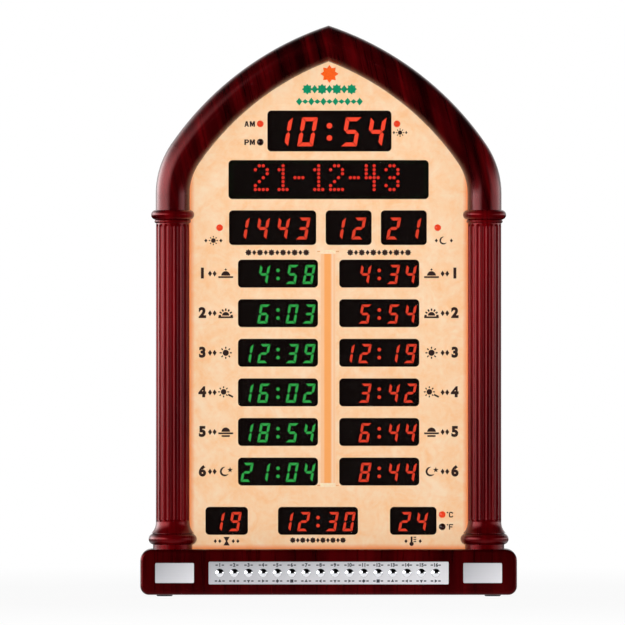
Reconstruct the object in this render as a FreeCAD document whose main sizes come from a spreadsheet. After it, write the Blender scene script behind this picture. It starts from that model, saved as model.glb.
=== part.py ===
import FreeCAD, Part
import math
import os

import Sketcher
from FreeCAD import Placement, Rotation, Vector

# Azan clock: a plinth with push buttons, two fluted half-columns and a pointed arch around a
# printed face with LED displays.  Millimetres.  +X to the clock's right as seen from the front,
# the front faces -Y, +Z up.  The origin is under the middle of the clock, level with its feet.

doc = FreeCAD.newDocument("azan_clock")


# ---------------------------------------------------------------- driving dimensions

DIMENSIONS = [
    # plinth
    ("base_width", 280.0, "plinth, side to side"),
    ("base_top", 34.8, "height of the plinth's top above the ground"),
    ("base_front", 23.0, "plinth's front face, forward of the origin"),
    ("body_back", 25.0, "rear face of the whole case, behind the origin"),
    ("base_top_radius", 8.0, "upper corners of the plinth"),
    ("base_bottom_radius", 6.5, "lower corners of the plinth"),
    ("base_edge_round", 2.5, "rounding of the plinth's front edges"),
    ("wall", 2.5, "wall of every moulding"),
    ("clearance", 0.3, "gap between fitted mouldings"),
    # columns
    ("column_offset", 116.1, "column axis from the middle"),
    ("column_radius", 12.45, "shaft of the column"),
    ("column_plane", 4.0, "axis plane of the columns and face of the panel, forward of the origin"),
    ("flute_radius", 2.2, "cutter of a flute"),
    ("flute_depth", 1.2, "depth of a flute"),
    ("flute_pitch", 22.5, "degrees from flute to flute"),
    ("flute_margin", 0.3, "plain shaft above and below the flutes"),
    ("plinth_radius", 14.6, "round plinth under the column's foot"),
    ("plinth_height", 3.4, "its height"),
    ("torus_radius", 17.9, "largest radius of the foot's torus"),
    ("torus_height", 8.2, "height of the torus"),
    ("cove_radius", 15.7, "lower rim of the cove above the torus"),
    ("cove_height", 8.1, "height of the cove"),
    ("quirk", 0.5, "fine groove between torus and cove"),
    ("ring_top", 287.2, "top of the ring, where the arch begins"),
    ("ring_radius", 16.1, "largest radius of the ring"),
    ("ring_height", 7.1, "height of the ring"),
    ("bead_height", 2.6, "small bead under the ring"),
    ("bead_swell", 1.1, "how far the bead stands out of the shaft"),
    # arch
    ("band_half", 12.65, "half width of the arch's moulding"),
    ("arch_leg", 12.1, "straight leg of the arch above the ring"),
    ("shoulder_radius", 52.95, "centre line of the arch's shoulder"),
    ("shoulder_turn", 34.4, "degrees that the shoulder turns through"),
    ("crown_radius", 217.05, "centre line of the arch's crown"),
    ("spigot_height", 6.0, "tongue of the arch that enters the column"),
    # fasteners and bosses
    ("boss_radius", 2.5, "screw boss"),
    ("boss_inset", 6.0, "screw boss from the middle of the band"),
    ("pilot_radius", 1.25, "pilot hole for a self-tapping screw"),
    ("pilot_depth", 7.0, "depth of a pilot hole"),
    ("screw_radius", 1.2, "shank of a screw"),
    ("screw_bite", 5.5, "length of screw in its boss"),
    ("head_radius", 2.6, "head of a screw"),
    ("head_height", 1.5, "height of the head"),
    ("low_boss", 62.0, "height of the lowest screws in the columns"),
    ("mid_boss", 165.0, "height of the middle screws in the columns"),
    ("high_boss", 262.0, "height of the highest screws in the columns"),
    ("crown_boss", 48.0, "screws in the arch's crown, from the middle"),
    ("shoulder_boss", 20.0, "degrees up the shoulder of the screws there"),
    # face panel and filter
    ("panel_thickness", 2.0, "printed face panel"),
    ("panel_tuck", 10.45, "panel edge behind the moulding, from its inner edge"),
    ("filter_thickness", 1.0, "smoked filter behind the panel"),
    ("window_corner", 3.0, "corner radius of the windows"),
    ("filter_half_low", 99.0, "filter's half width beside the rows"),
    ("filter_half_mid", 78.0, "filter's half width at the dot matrix"),
    ("filter_half_top", 47.8, "filter's half width at the time"),
    ("filter_lap", 2.2, "filter past the windows, up and down"),
    # windows: centre, width and height
    ("time_x", 0.6, "time window"),
    ("time_z", 346.1, "time window"),
    ("time_width", 92.4, "time window"),
    ("time_height", 30.4, "time window"),
    ("matrix_z", 309.9, "dot matrix window"),
    ("matrix_width", 149.1, "dot matrix window"),
    ("matrix_height", 29.0, "dot matrix window"),
    ("date_z", 274.1, "three date windows"),
    ("date_height", 25.8, "three date windows"),
    ("year_x", -41.7, "year window"),
    ("year_width", 64.9, "year window"),
    ("month_x", 14.9, "month window"),
    ("day_x", 56.0, "day window"),
    ("pair_width", 34.2, "windows of two large digits"),
    ("row_x", 37.7, "row windows from the middle"),
    ("row_width", 59.6, "row windows"),
    ("row_height", 20.8, "row windows"),
    ("row_top", 239.9, "highest row"),
    ("row_pitch", 29.48, "row to row"),
    ("foot_z", 55.8, "bottom row of windows"),
    ("foot_left_x", -75.9, "left window of the bottom row"),
    ("foot_middle_x", -7.9, "middle window of the bottom row"),
    ("foot_right_x", 63.0, "right window of the bottom row"),
    ("foot_left_width", 31.6, "left window of the bottom row"),
    ("foot_right_width", 34.7, "right window of the bottom row"),
    # digits: outer width and height, stroke, pitch
    ("time_digit_width", 11.7, "time digits"),
    ("time_digit_height", 21.6, "time digits"),
    ("time_stroke", 2.9, "time digits"),
    ("time_pitch", 18.6, "time digits"),
    ("time_split", 16.3, "inner time digits from the colon"),
    ("date_digit_width", 8.3, "date digits"),
    ("date_digit_height", 16.3, "date digits"),
    ("date_stroke", 2.2, "date digits"),
    ("date_pitch", 15.1, "date digits"),
    ("small_digit_width", 7.4, "0.56 inch digits"),
    ("small_digit_height", 14.2, "0.56 inch digits"),
    ("small_stroke", 1.85, "0.56 inch digits"),
    ("small_pitch", 12.5, "0.56 inch digits"),
    ("small_split", 10.6, "inner 0.56 inch digits from the colon"),
    ("slant", 10.0, "degrees that the digits lean"),
    ("segment_gap", 0.25, "gap at the ends of a segment"),
    ("digit_drop", 0.6, "digits below the middle of their window"),
    ("light_clearance", 0.2, "lit faces behind the filter"),
    ("light_thickness", 0.3, "lit face of a display, proud of its case"),
    ("case_depth", 6.5, "depth of a display case"),
    ("case_lap", 0.8, "display case past its window, all round"),
    ("dot_pitch", 2.95, "dot matrix"),
    ("dot_radius", 1.2, "dot matrix"),
    # round indicator LEDs
    ("led_radius", 2.35, "indicator LED"),
    ("led_clearance", 0.15, "LED in its hole"),
    ("led_length", 6.6, "LED from its tip to its base"),
    ("led_flange", 2.9, "radius of the LED's rim"),
    ("led_lead", 0.5, "thickness of a lead"),
    ("clock_led_x", 50.9, "LEDs beside the time, from the middle"),
    ("clock_led_high", 351.4, "upper LEDs beside the time"),
    ("clock_led_low", 337.8, "lower LED beside the time"),
    ("date_led_x", 81.2, "LEDs beside the date, from the middle"),
    ("scale_led_x", 84.6, "LEDs beside the temperature"),
    ("scale_led_high", 60.5, "upper one"),
    ("scale_led_low", 51.4, "lower one"),
    # boards
    ("board_thickness", 1.6, "every circuit board"),
    ("lower_board_half", 109.0, "half width of the lower board"),
    ("board_margin", 3.0, "boards past their screws, up and down"),
    ("board_boss_x", 105.0, "screws of the lower board, from the middle"),
    ("board_boss_low", 42.0, "lowest screws of the lower board"),
    ("upper_board_half", 88.0, "half width of the upper board"),
    ("upper_boss_x", 84.0, "screws of the upper board, from the middle"),
    ("upper_boss_low", 299.0, "lower screws of the upper board"),
    ("upper_boss_high", 333.0, "upper screws of the upper board"),
    ("board_gap", 3.0, "between the two boards"),
    ("chip_depth", 3.0, "chips on the boards"),
    ("chip_long", 26.0, "display driver"),
    ("chip_wide", 8.0, "display driver"),
    ("controller_long", 30.0, "controller"),
    ("controller_wide", 10.0, "controller"),
    ("capacitor_radius", 4.0, "capacitors on the lower board"),
    ("capacitor_height", 9.0, "capacitors on the lower board"),
    ("capacitor_x", 76.3, "corner capacitor of the three"),
    ("capacitor_z", 77.1, "corner capacitor of the three"),
    # buttons
    ("button_pitch", 10.7, "button to button"),
    ("button_start", -80.9, "first button from the middle"),
    ("button_z", 17.3, "height of the buttons"),
    ("button_radius", 3.05, "cap of a button"),
    ("button_clearance", 0.2, "cap in its hole"),
    ("button_proud", 2.0, "cap out of the plinth's face"),
    ("button_crown", 1.0, "height of the cap's dome"),
    ("button_flange", 4.0, "radius of the retaining rim"),
    ("button_rim", 1.0, "thickness of the retaining rim"),
    ("button_travel", 0.8, "how far a button goes in"),
    ("button_stem", 1.0, "stem behind the rim"),
    ("switch_gap", 0.3, "stem to switch when pressed"),
    ("switch_size", 6.0, "side of a tact switch"),
    ("switch_depth", 3.5, "tact switch without its plunger"),
    ("plunger_radius", 1.7, "plunger of a tact switch"),
    ("plunger_height", 0.6, "plunger of a tact switch"),
    ("key_board_width", 188.0, "button board"),
    ("key_board_height", 23.0, "button board"),
    ("key_board_end", 90.0, "end screws of the button board from the middle"),
    # plates on the plinth
    ("plate_width", 178.4, "button plate"),
    ("plate_height", 16.8, "button plate"),
    ("plate_thickness", 0.8, "metal plates"),
    ("plate_proud", 0.2, "metal plates out of the plinth's face"),
    ("plate_fit", 0.1, "metal plates in their recesses"),
    ("plate_corner", 0.8, "corner radius of the metal plates"),
    ("trim_inset", 25.5, "middle of a trim plate from the plinth's end"),
    ("trim_width", 28.8, "trim plates"),
    ("trim_height", 14.8, "trim plates"),
    # feet
    ("foot_radius", 6.0, "rubber foot"),
    ("foot_height", 2.0, "rubber foot"),
    ("foot_stand", 1.0, "foot below the plinth"),
    ("foot_inset", 18.0, "feet from the plinth's ends"),
    ("foot_y", 14.0, "feet from the middle, front and back"),
    # rear cover
    ("cover_thickness", 2.5, "rear cover"),
    ("keyhole_x", 70.0, "keyholes from the middle"),
    ("keyhole_z", 310.0, "keyholes, centre of the entry hole"),
    ("keyhole_radius", 4.5, "entry hole of a keyhole"),
    ("keyhole_slot", 2.2, "half width of the keyhole's slot"),
    ("keyhole_rise", 9.0, "slot end above the entry hole"),
    ("base_boss_inset", 12.0, "cover screws in the plinth, from its ends"),
    ("base_boss_z", 17.0, "cover screws in the plinth, height"),
    ("cover_boss_radius", 3.2, "boss of a cover screw"),
    ("head_sink", 1.8, "depth of a cover screw's counterbore"),
    ("speaker_x", 0.0, "loudspeaker"),
    ("speaker_z", 150.0, "loudspeaker"),
    ("speaker_radius", 28.5, "loudspeaker frame"),
    ("speaker_depth", 12.0, "loudspeaker"),
    ("speaker_flange", 1.0, "rim of the loudspeaker frame"),
    ("cone_radius", 24.0, "loudspeaker cone"),
    ("cone_depth", 6.0, "loudspeaker cone"),
    ("cone_sheet", 0.6, "loudspeaker cone's paper"),
    ("cone_cap", 8.0, "radius of the dust cap"),
    ("magnet_radius", 13.0, "loudspeaker magnet"),
    ("magnet_height", 4.0, "loudspeaker magnet"),
    ("speaker_washer", 4.2, "washer that clamps the loudspeaker's rim"),
    ("grille_radius", 20.0, "circle that the grille fills"),
    ("grille_slot", 3.0, "height of a grille slot"),
    ("grille_corner", 1.3, "corner radius of a grille slot"),
    ("grille_pitch", 6.0, "slot to slot"),
    ("inlet_inset", 45.0, "power inlet from the plinth's end"),
    ("inlet_z", 17.3, "power inlet"),
    ("inlet_radius", 4.0, "barrel of the power inlet"),
    ("inlet_socket", 2.8, "socket of the power inlet"),
    ("inlet_pin", 1.0, "centre pin of the power inlet"),
    ("inlet_depth", 9.5, "depth of the socket"),
    ("inlet_body", 11.0, "side of the inlet's body"),
    ("inlet_length", 13.0, "length of the inlet's body"),
    ("door_x", -62.0, "battery door"),
    ("door_z", 150.0, "battery door's lower edge"),
    ("door_width", 30.0, "battery door"),
    ("door_height", 30.0, "battery door"),
    ("door_thickness", 1.5, "battery door"),
    ("door_ledge", 1.5, "ledge that the door closes on"),
    ("grip_corner", 1.0, "corner radius of the door's thumb grip"),
    ("hinge_tab", 5.0, "width of a hinge tab"),
    ("hinge_reach", 1.3, "hinge tab below the door"),
    ("cell_radius", 10.0, "CR2032 coin cell"),
    ("cell_thickness", 3.2, "CR2032 coin cell"),
    ("holder_lap", 1.0, "coin cell holder past the door, each side"),
    ("holder_depth", 5.5, "coin cell holder"),
    # ribbon cable
    ("ribbon_width", 22.0, "ribbon cable"),
    ("ribbon_thickness", 0.9, "ribbon cable"),
    ("ribbon_x", 20.0, "ribbon cable"),
]

BUTTON_COUNT = 16
ROW_COUNT = 6
FLUTE_COUNT = 7
GRILLE_COUNT = 7
MATRIX_MODULES = 6
DOTS_PER_MODULE = 8

sheet = doc.addObject("Spreadsheet::Sheet", "sizes")
for row, (alias, value, meaning) in enumerate(DIMENSIONS, start=1):
    sheet.set(f"A{row}", alias)
    sheet.set(f"B{row}", str(value))
    sheet.set(f"C{row}", meaning)
    sheet.setAlias(f"B{row}", alias)
doc.recompute()


# ---------------------------------------------------------------- sizes that stay tied to the sheet

class Size:
    """A length or angle: its value, and the sheet expression that it comes from."""

    def __init__(self, value, text):
        self.value = float(value)
        self.text = text

    def __add__(self, other):
        other = as_size(other)
        return Size(self.value + other.value, f"({self.text} + {other.text})")

    def __sub__(self, other):
        other = as_size(other)
        return Size(self.value - other.value, f"({self.text} - {other.text})")

    def __mul__(self, other):
        other = as_size(other)
        return Size(self.value * other.value, f"({self.text} * {other.text})")

    def __truediv__(self, other):
        other = as_size(other)
        return Size(self.value / other.value, f"({self.text} / {other.text})")

    def __neg__(self):
        return Size(-self.value, f"(0 - {self.text})")

    __radd__ = __add__
    __rmul__ = __mul__

    def __rsub__(self, other):
        return as_size(other) - self


def as_size(number):
    if isinstance(number, Size):
        return number
    return Size(number, f"({float(number)})")


def root(area):
    return Size(math.sqrt(area.value), f"sqrt({area.text})")


def sine(turn):
    return Size(math.sin(math.radians(turn.value)), f"sin({turn.text} * 1 deg)")


def cosine(turn):
    return Size(math.cos(math.radians(turn.value)), f"cos({turn.text} * 1 deg)")


class Sheet:
    """Every alias of the sheet as a Size."""

    def __init__(self, dimensions):
        for alias, value, _ in dimensions:
            setattr(self, alias, Size(value, f"sizes.{alias}"))


size = Sheet(DIMENSIONS)
ZERO = as_size(0)


def bind(target, prop, value):
    """Give a property its value, through an expression where it comes from the sheet."""
    if isinstance(value, Size):
        target.setExpression(prop, value.text)
    else:
        setattr(target, prop, value)


def place(target, x, y, z):
    for axis, value in zip("xyz", (x, y, z)):
        target.setExpression(f"Placement.Base.{axis}", as_size(value).text)


# ---------------------------------------------------------------- shared planes and outlines

base_bottom = size.foot_stand
front_y = -size.base_front
back_y = size.body_back
panel_y = -size.column_plane
panel_back = panel_y + size.panel_thickness
filter_back = panel_back + size.filter_thickness
light_front = filter_back + size.light_clearance
case_front = light_front + size.light_thickness
board_front = case_front + size.case_depth
board_back = board_front + size.board_thickness
cover_y = back_y - size.cover_thickness
wall_back = front_y + size.wall
bore_radius = size.column_radius - size.wall
springing = size.ring_top + size.arch_leg
base_end = size.base_width / 2
trim_x = base_end - size.trim_inset
foot_x = base_end - size.foot_inset
base_boss_x = base_end - size.base_boss_inset
inlet_x = base_end - size.inlet_inset

# the arch's two arcs turn about these centres, on the right-hand side
shoulder_x = size.column_offset - size.shoulder_radius
crown_drop = size.crown_radius - size.shoulder_radius
crown_x = shoulder_x - crown_drop * cosine(size.shoulder_turn)
crown_z = springing - crown_drop * sine(size.shoulder_turn)


def arch_points(shift):
    """The right half of the arch's line, moved outward by shift: springing, joint, apex."""
    shoulder = size.shoulder_radius + shift
    crown = size.crown_radius + shift
    joint = (shoulder_x + shoulder * cosine(size.shoulder_turn),
             springing + shoulder * sine(size.shoulder_turn))
    apex = (ZERO, crown_z + root(crown * crown - crown_x * crown_x))
    return (size.column_offset + shift, springing), joint, apex


def crown_point(x, shift):
    """The point of the crown's line, moved outward by shift, that lies above x."""
    crown = size.crown_radius + shift
    across = x - crown_x
    return x, crown_z + root(crown * crown - across * across)


def shoulder_point(turn, shift):
    shoulder = size.shoulder_radius + shift
    return shoulder_x + shoulder * cosine(turn), springing + shoulder * sine(turn)


# ---------------------------------------------------------------- sketches

def new_body(name):
    body = doc.addObject("PartDesign::Body", name)
    body.Label = name
    return body


def new_sketch(body, role, offset=ZERO, turn=0):
    """A sketch on one of the body's own planes, moved along its normal and turned about its Y."""
    sketch = body.newObject("Sketcher::SketchObject", f"{body.Name}_sketch")
    plane = [feature for feature in body.Origin.OriginFeatures if feature.Role == role][0]
    sketch.AttachmentSupport = [(plane, "")]
    sketch.MapMode = "FlatFace"
    sketch.AttachmentOffset = Placement(Vector(0, 0, 0), Rotation(Vector(0, 1, 0), turn))
    if isinstance(offset, Size):
        sketch.setExpression("AttachmentOffset.Base.z", offset.text)
    return sketch


def upright_sketch(body, y):
    """A sketch that faces the front at this y: its X is the row's X and its Y is the row's Z."""
    return new_sketch(body, "XZ_Plane", -y)


def constrain(sketch, constraints):
    """Add constraints in one go.  Each is its kind, what it holds, and a size where it has one."""
    first = sketch.ConstraintCount
    made = [Sketcher.Constraint(kind, *held) if value is None
            else Sketcher.Constraint(kind, *held, value.value) for kind, held, value in constraints]
    sketch.addConstraint(made)
    for index, (_, _, value) in enumerate(constraints, start=first):
        if value is not None:
            sketch.setExpression(f"Constraints[{index}]", value.text)


def fixed_point(geometry, vertex, x, y):
    """Constraints that hold a vertex at its place from the sketch's origin."""
    held = (-1, 1, geometry, vertex)
    return [("DistanceX", held, as_size(x)), ("DistanceY", held, as_size(y))]


def fixed_radius(geometry, radius):
    return [("Radius", (geometry,), as_size(radius))]


def draw_circle(sketch, x, y, radius):
    x, y, radius = as_size(x), as_size(y), as_size(radius)
    circle = Part.Circle(Vector(x.value, y.value, 0), Vector(0, 0, 1), radius.value)
    index = sketch.addGeometry(circle, False)
    constrain(sketch, fixed_point(index, 3, x, y) + fixed_radius(index, radius))


def arc_between(start, end, radius, left):
    """The short arc from start to end, with its centre to the left or right of the way."""
    chord = end - start
    rise = math.sqrt(max(radius ** 2 - (chord.Length / 2) ** 2, 0))
    normal = Vector(-chord.y, chord.x, 0).normalize() * (rise if left else -rise)
    centre = (start + end) / 2 + normal
    first, last = (start, end) if left else (end, start)
    angles = [math.atan2(point.y - centre.y, point.x - centre.x) for point in (first, last)]
    circle = Part.Circle(centre, Vector(0, 0, 1), radius)
    return Part.ArcOfCircle(circle, angles[0], angles[1])


def draw_path(sketch, points, arcs=None, closed=True):
    """Lines and arcs through the points.  arcs gives an edge's radius by its number, positive
    where the arc's centre lies to the left of the way."""
    arcs = arcs or {}
    spots = [Vector(as_size(x).value, as_size(y).value, 0) for x, y in points]
    count = len(points) if closed else len(points) - 1
    ends = []
    for number in range(count):
        start, end = spots[number], spots[(number + 1) % len(points)]
        if number in arcs:
            left = arcs[number].value > 0
            curve = arc_between(start, end, abs(arcs[number].value), left)
            geometry = sketch.addGeometry(curve, False)
            ends.append((geometry, 1, 2) if left else (geometry, 2, 1))
        else:
            geometry = sketch.addGeometry(Part.LineSegment(start, end), False)
            ends.append((geometry, 1, 2))
    joints = range(count) if closed else range(count - 1)
    constraints = []
    for number in joints:
        here, onward = ends[number], ends[(number + 1) % count]
        constraints.append(("Coincident", (here[0], here[2], onward[0], onward[1]), None))
    for number, point in enumerate(points[:count]):
        constraints += fixed_point(ends[number][0], ends[number][1], *point)
    if not closed:
        constraints += fixed_point(ends[-1][0], ends[-1][2], *points[-1])
    for number, radius in arcs.items():
        constraints += fixed_radius(ends[number][0], radius if radius.value > 0 else -radius)
    constrain(sketch, constraints)


def draw_rectangle(sketch, x, y, width, height, radius=None):
    """An upright rectangle about its centre, with rounded corners where a radius is given."""
    x, y = as_size(x), as_size(y)
    left, right = x - width / 2, x + width / 2
    low, high = y - height / 2, y + height / 2
    if radius is None:
        draw_path(sketch, [(left, low), (right, low), (right, high), (left, high)])
        return
    points = [(left + radius, low), (right - radius, low), (right, low + radius),
              (right, high - radius), (right - radius, high), (left + radius, high),
              (left, high - radius), (left, low + radius)]
    draw_path(sketch, points, {1: radius, 3: radius, 5: radius, 7: radius})


# ---------------------------------------------------------------- features

def extrude(body, kind, sketch, length, to_front):
    """A Pad or Pocket of an upright sketch, towards the front or the back."""
    feature = body.newObject(f"PartDesign::{kind}", f"{body.Name}_{kind.lower()}")
    feature.Profile = sketch
    bind(feature, "Length", length)
    feature.Reversed = to_front if kind == "Pocket" else not to_front
    sketch.Visibility = False
    return feature


def pad(body, sketch, length, to_front=True):
    return extrude(body, "Pad", sketch, length, to_front)


def pocket(body, sketch, length, to_front=False):
    return extrude(body, "Pocket", sketch, length, to_front)


def revolve(body, sketch, axis, turn=360.0, to_back=False):
    feature = body.newObject("PartDesign::Revolution", f"{body.Name}_turned")
    feature.Profile = sketch
    feature.ReferenceAxis = (sketch, [axis])
    feature.Angle = turn
    feature.Reversed = to_back
    return feature


def turned_part(name, points, arcs=None, at=None):
    """A body turned about its own Y axis: each point is a radius and a place along Y."""
    body = new_body(name)
    sketch = new_sketch(body, "XY_Plane")
    draw_path(sketch, points, arcs)
    revolve(body, sketch, "V_Axis")
    if at:
        place(body, at[0], ZERO, at[1])
    return body


def primitive(kind, name, sizes, at, turn=None):
    """A Part primitive with its sizes and its place tied to the sheet."""
    solid = doc.addObject(f"Part::{kind}", name)
    for prop, value in sizes.items():
        bind(solid, prop, as_size(value))
    if turn:
        solid.Placement = Placement(Vector(0, 0, 0), turn)
    place(solid, *at)
    return solid


def block(name, x, y, z, width, depth, height):
    """A box from its middle in X, its front in Y and its middle in Z."""
    at = (x - width / 2, y, z - height / 2)
    return primitive("Box", name, {"Length": width, "Width": depth, "Height": height}, at)


TO_BACK = Rotation(Vector(1, 0, 0), -90)
TO_TOP = Rotation()


def rod(name, x, y, z, radius, length, turn=TO_BACK):
    """A cylinder that starts at this point and runs to the back, or up."""
    return primitive("Cylinder", name, {"Radius": radius, "Height": length}, (x, y, z), turn)


def fuse(name, *solids):
    joined = doc.addObject("Part::MultiFuse", name)
    joined.Shapes = list(solids)
    joined.Refine = True
    return joined


def cut(name, solid, *tools):
    tool = tools[0] if len(tools) == 1 else fuse(f"{name}_tools", *tools)
    result = doc.addObject("Part::Cut", name)
    result.Base = solid
    result.Tool = tool
    result.Refine = True
    return result


def group(name, solids):
    """Separate solids that share one node."""
    compound = doc.addObject("Part::Compound", name)
    compound.Label = name
    compound.Links = list(solids)
    return compound


def mirror(name, source):
    other = doc.addObject("Part::Mirroring", name)
    other.Source = source
    other.Normal = Vector(1, 0, 0)
    return other


def both_sides(x):
    return (-x, x)


# ---------------------------------------------------------------- plinth

base_height = size.base_top - base_bottom
cover_half = base_end - size.wall - size.clearance


def draw_base_outline(sketch, inset):
    """The plinth's front outline, moved inward by inset."""
    half = base_end - inset
    low, high = base_bottom + inset, size.base_top - inset
    top, bottom = size.base_top_radius - inset, size.base_bottom_radius - inset
    points = [(-half + bottom, low), (half - bottom, low), (half, low + bottom), (half, high - top),
              (half - top, high), (-half + top, high), (-half, high - top), (-half, low + bottom)]
    draw_path(sketch, points, {1: bottom, 3: top, 5: top, 7: bottom})


def front_edges(shape, y):
    """Names of the edges that lie on the front face."""
    return [f"Edge{number}" for number, edge in enumerate(shape.Edges, start=1)
            if abs(edge.BoundBox.YMin - y) < 1e-4 and abs(edge.BoundBox.YMax - y) < 1e-4]


def button_places():
    return [size.button_start + size.button_pitch * number for number in range(BUTTON_COUNT)]


def key_board_places():
    """Screws of the button board: one at each end, and two above and below the middle gap."""
    middle = size.button_start + size.button_pitch * ((BUTTON_COUNT - 1) / 2)
    rise = size.key_board_height / 2 - size.boss_radius
    return [(-size.key_board_end, size.button_z), (size.key_board_end, size.button_z),
            (middle, size.button_z + rise), (middle, size.button_z - rise)]


def base_housing():
    body = new_body("base_housing")
    outline = upright_sketch(body, back_y)
    draw_base_outline(outline, ZERO)
    shell = pad(body, outline, back_y - front_y)
    doc.recompute()

    edges = body.newObject("PartDesign::Fillet", "base_front_round")
    edges.Base = (shell, front_edges(shell.Shape, front_y.value))
    bind(edges, "Radius", size.base_edge_round)

    hollow = upright_sketch(body, back_y)
    draw_base_outline(hollow, size.wall)
    pocket(body, hollow, back_y - wall_back, to_front=True)

    # the top is open behind the face panel, and notched at the back for the rear cover
    opening = upright_sketch(body, back_y)
    draw_rectangle(opening, ZERO, size.base_top, (panel_half + size.clearance) * 2, size.wall * 3)
    pocket(body, opening, back_y - panel_y, to_front=True)
    notch = upright_sketch(body, back_y)
    draw_rectangle(notch, ZERO, size.base_top, (size.column_offset + bore_radius) * 2, size.wall * 3)
    pocket(body, notch, size.cover_thickness + size.clearance, to_front=True)

    # bosses for the button board and, at the ends, for the rear cover
    bosses = upright_sketch(body, wall_back)
    for x, z in key_board_places():
        draw_circle(bosses, x, z, size.boss_radius)
    pad(body, bosses, key_board_front - wall_back, to_front=False)
    cover_bosses = upright_sketch(body, wall_back)
    for x in both_sides(base_boss_x):
        draw_circle(cover_bosses, x, size.base_boss_z, size.cover_boss_radius)
    pad(body, cover_bosses, cover_y - wall_back, to_front=False)
    pilots = upright_sketch(body, key_board_front)
    for x, z in key_board_places():
        draw_circle(pilots, x, z, size.pilot_radius)
    pocket(body, pilots, key_board_front - wall_back, to_front=True)
    cover_pilots = upright_sketch(body, cover_y)
    for x in both_sides(base_boss_x):
        draw_circle(cover_pilots, x, size.base_boss_z, size.pilot_radius)
    pocket(body, cover_pilots, size.pilot_depth, to_front=True)

    # recesses for the three plates, then the button holes
    recess = upright_sketch(body, front_y)
    fit = size.plate_fit * 2
    draw_rectangle(recess, ZERO, size.button_z, size.plate_width + fit, size.plate_height + fit,
                   size.plate_corner + size.plate_fit)
    for x in both_sides(trim_x):
        draw_rectangle(recess, x, size.button_z, size.trim_width + fit, size.trim_height + fit,
                       size.plate_corner + size.plate_fit)
    pocket(body, recess, size.plate_thickness - size.plate_proud)
    first_hole = upright_sketch(body, front_y)
    draw_circle(first_hole, size.button_start, size.button_z, button_hole)
    hole = pocket(body, first_hole, size.wall * 2)
    repeat(body, hole, (first_hole, ["H_Axis"]), size.button_pitch, BUTTON_COUNT)

    # holes for the column screws, seats for the feet
    screws = new_sketch(body, "XY_Plane", size.base_top - size.wall * 2)
    for x, y in column_screw_places():
        draw_circle(screws, x, y, size.screw_radius + size.clearance)
    up = body.newObject("PartDesign::Pocket", "base_screw_holes")
    up.Profile = screws
    bind(up, "Length", size.wall * 3)
    up.Reversed = True
    seats = new_sketch(body, "XY_Plane", base_bottom)
    for x in both_sides(foot_x):
        for y in both_sides(size.foot_y):
            draw_circle(seats, x, y, size.foot_radius + size.plate_fit)
    down = body.newObject("PartDesign::Pocket", "base_foot_seats")
    down.Profile = seats
    bind(down, "Length", size.foot_height - size.foot_stand)
    down.Reversed = True
    return body


def repeat(body, feature, direction, pitch, count):
    """A row of copies of a feature along a sketch's axis."""
    pattern = body.newObject("PartDesign::LinearPattern", f"{feature.Name}_row")
    pattern.Originals = [feature]
    pattern.Direction = direction
    bind(pattern, "Length", pitch * (count - 1))
    pattern.Occurrences = count
    body.Tip = pattern
    return pattern


def column_screw_places():
    depth = bore_radius / 2
    return [(x, panel_y - depth) for x in both_sides(size.column_offset)]


def base_plate(name, x, width, height, holes=()):
    body = new_body(name)
    front = front_y - size.plate_proud
    sketch = upright_sketch(body, front)
    draw_rectangle(sketch, x, size.button_z, width, height, size.plate_corner)
    pad(body, sketch, size.plate_thickness, to_front=False)
    if holes:
        first = upright_sketch(body, front)
        draw_circle(first, holes[0], size.button_z, button_hole)
        hole = pocket(body, first, size.plate_thickness * 2)
        repeat(body, hole, (first, ["H_Axis"]), size.button_pitch, len(holes))
    return body


def rubber_feet():
    feet = [rod(f"foot_{number}", x, y, ZERO, size.foot_radius, size.foot_height, TO_TOP)
            for number, (x, y) in enumerate((x, y) for x in both_sides(foot_x)
                                            for y in both_sides(size.foot_y))]
    rounded = []
    for foot in feet:
        edge = doc.addObject("Part::Chamfer", f"{foot.Name}_eased")
        edge.Base = foot
        doc.recompute()
        low = [number for number, line in enumerate(foot.Shape.Edges, start=1)
               if line.BoundBox.ZMax < foot.Shape.BoundBox.ZMin + 1e-4]
        ease = size.foot_stand.value / 2
        edge.Edges = [(number, ease, ease) for number in low]
        rounded.append(edge)
    return group("rubber_feet", rounded)


# ---------------------------------------------------------------- columns

def column_profile(sketch, side):
    """Half of the column's section: its hollow on the inside, its turned outline outside."""
    shaft = size.column_radius
    swell = size.torus_height / 2
    ring = size.ring_height / 2
    bead = size.bead_height / 2
    plinth_top = size.base_top + size.plinth_height
    torus_top = plinth_top + size.torus_height
    cove_low = torus_top + size.quirk
    cove_top = cove_low + size.cove_height
    ring_low = size.ring_top - size.ring_height
    bead_low = ring_low - size.bead_height
    cove_reach = size.cove_radius - shaft
    cove = (cove_reach * cove_reach + size.cove_height * size.cove_height) / (cove_reach * 2)
    bead_radius = (bead * bead + size.bead_swell * size.bead_swell) / (size.bead_swell * 2)
    torus_neck = size.torus_radius - swell
    outline = [
        (bore_radius, size.base_top), (size.plinth_radius, size.base_top),
        (size.plinth_radius, plinth_top), (torus_neck, plinth_top),
        (size.torus_radius, plinth_top + swell), (torus_neck, torus_top), (torus_neck, cove_low),
        (size.cove_radius, cove_low), (shaft, cove_top), (shaft, bead_low),
        (shaft + size.bead_swell, bead_low + bead), (shaft, ring_low),
        (size.ring_radius - ring, ring_low), (size.ring_radius, ring_low + ring),
        (size.ring_radius - ring, size.ring_top), (bore_radius, size.ring_top)]
    arcs = {3: swell, 4: swell, 7: -cove, 9: bead_radius, 10: bead_radius, 12: ring, 13: ring}
    if side < 0:
        outline = [(-x, z) for x, z in outline]
        arcs = {number: -radius for number, radius in arcs.items()}
    draw_path(sketch, outline, arcs)


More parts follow.
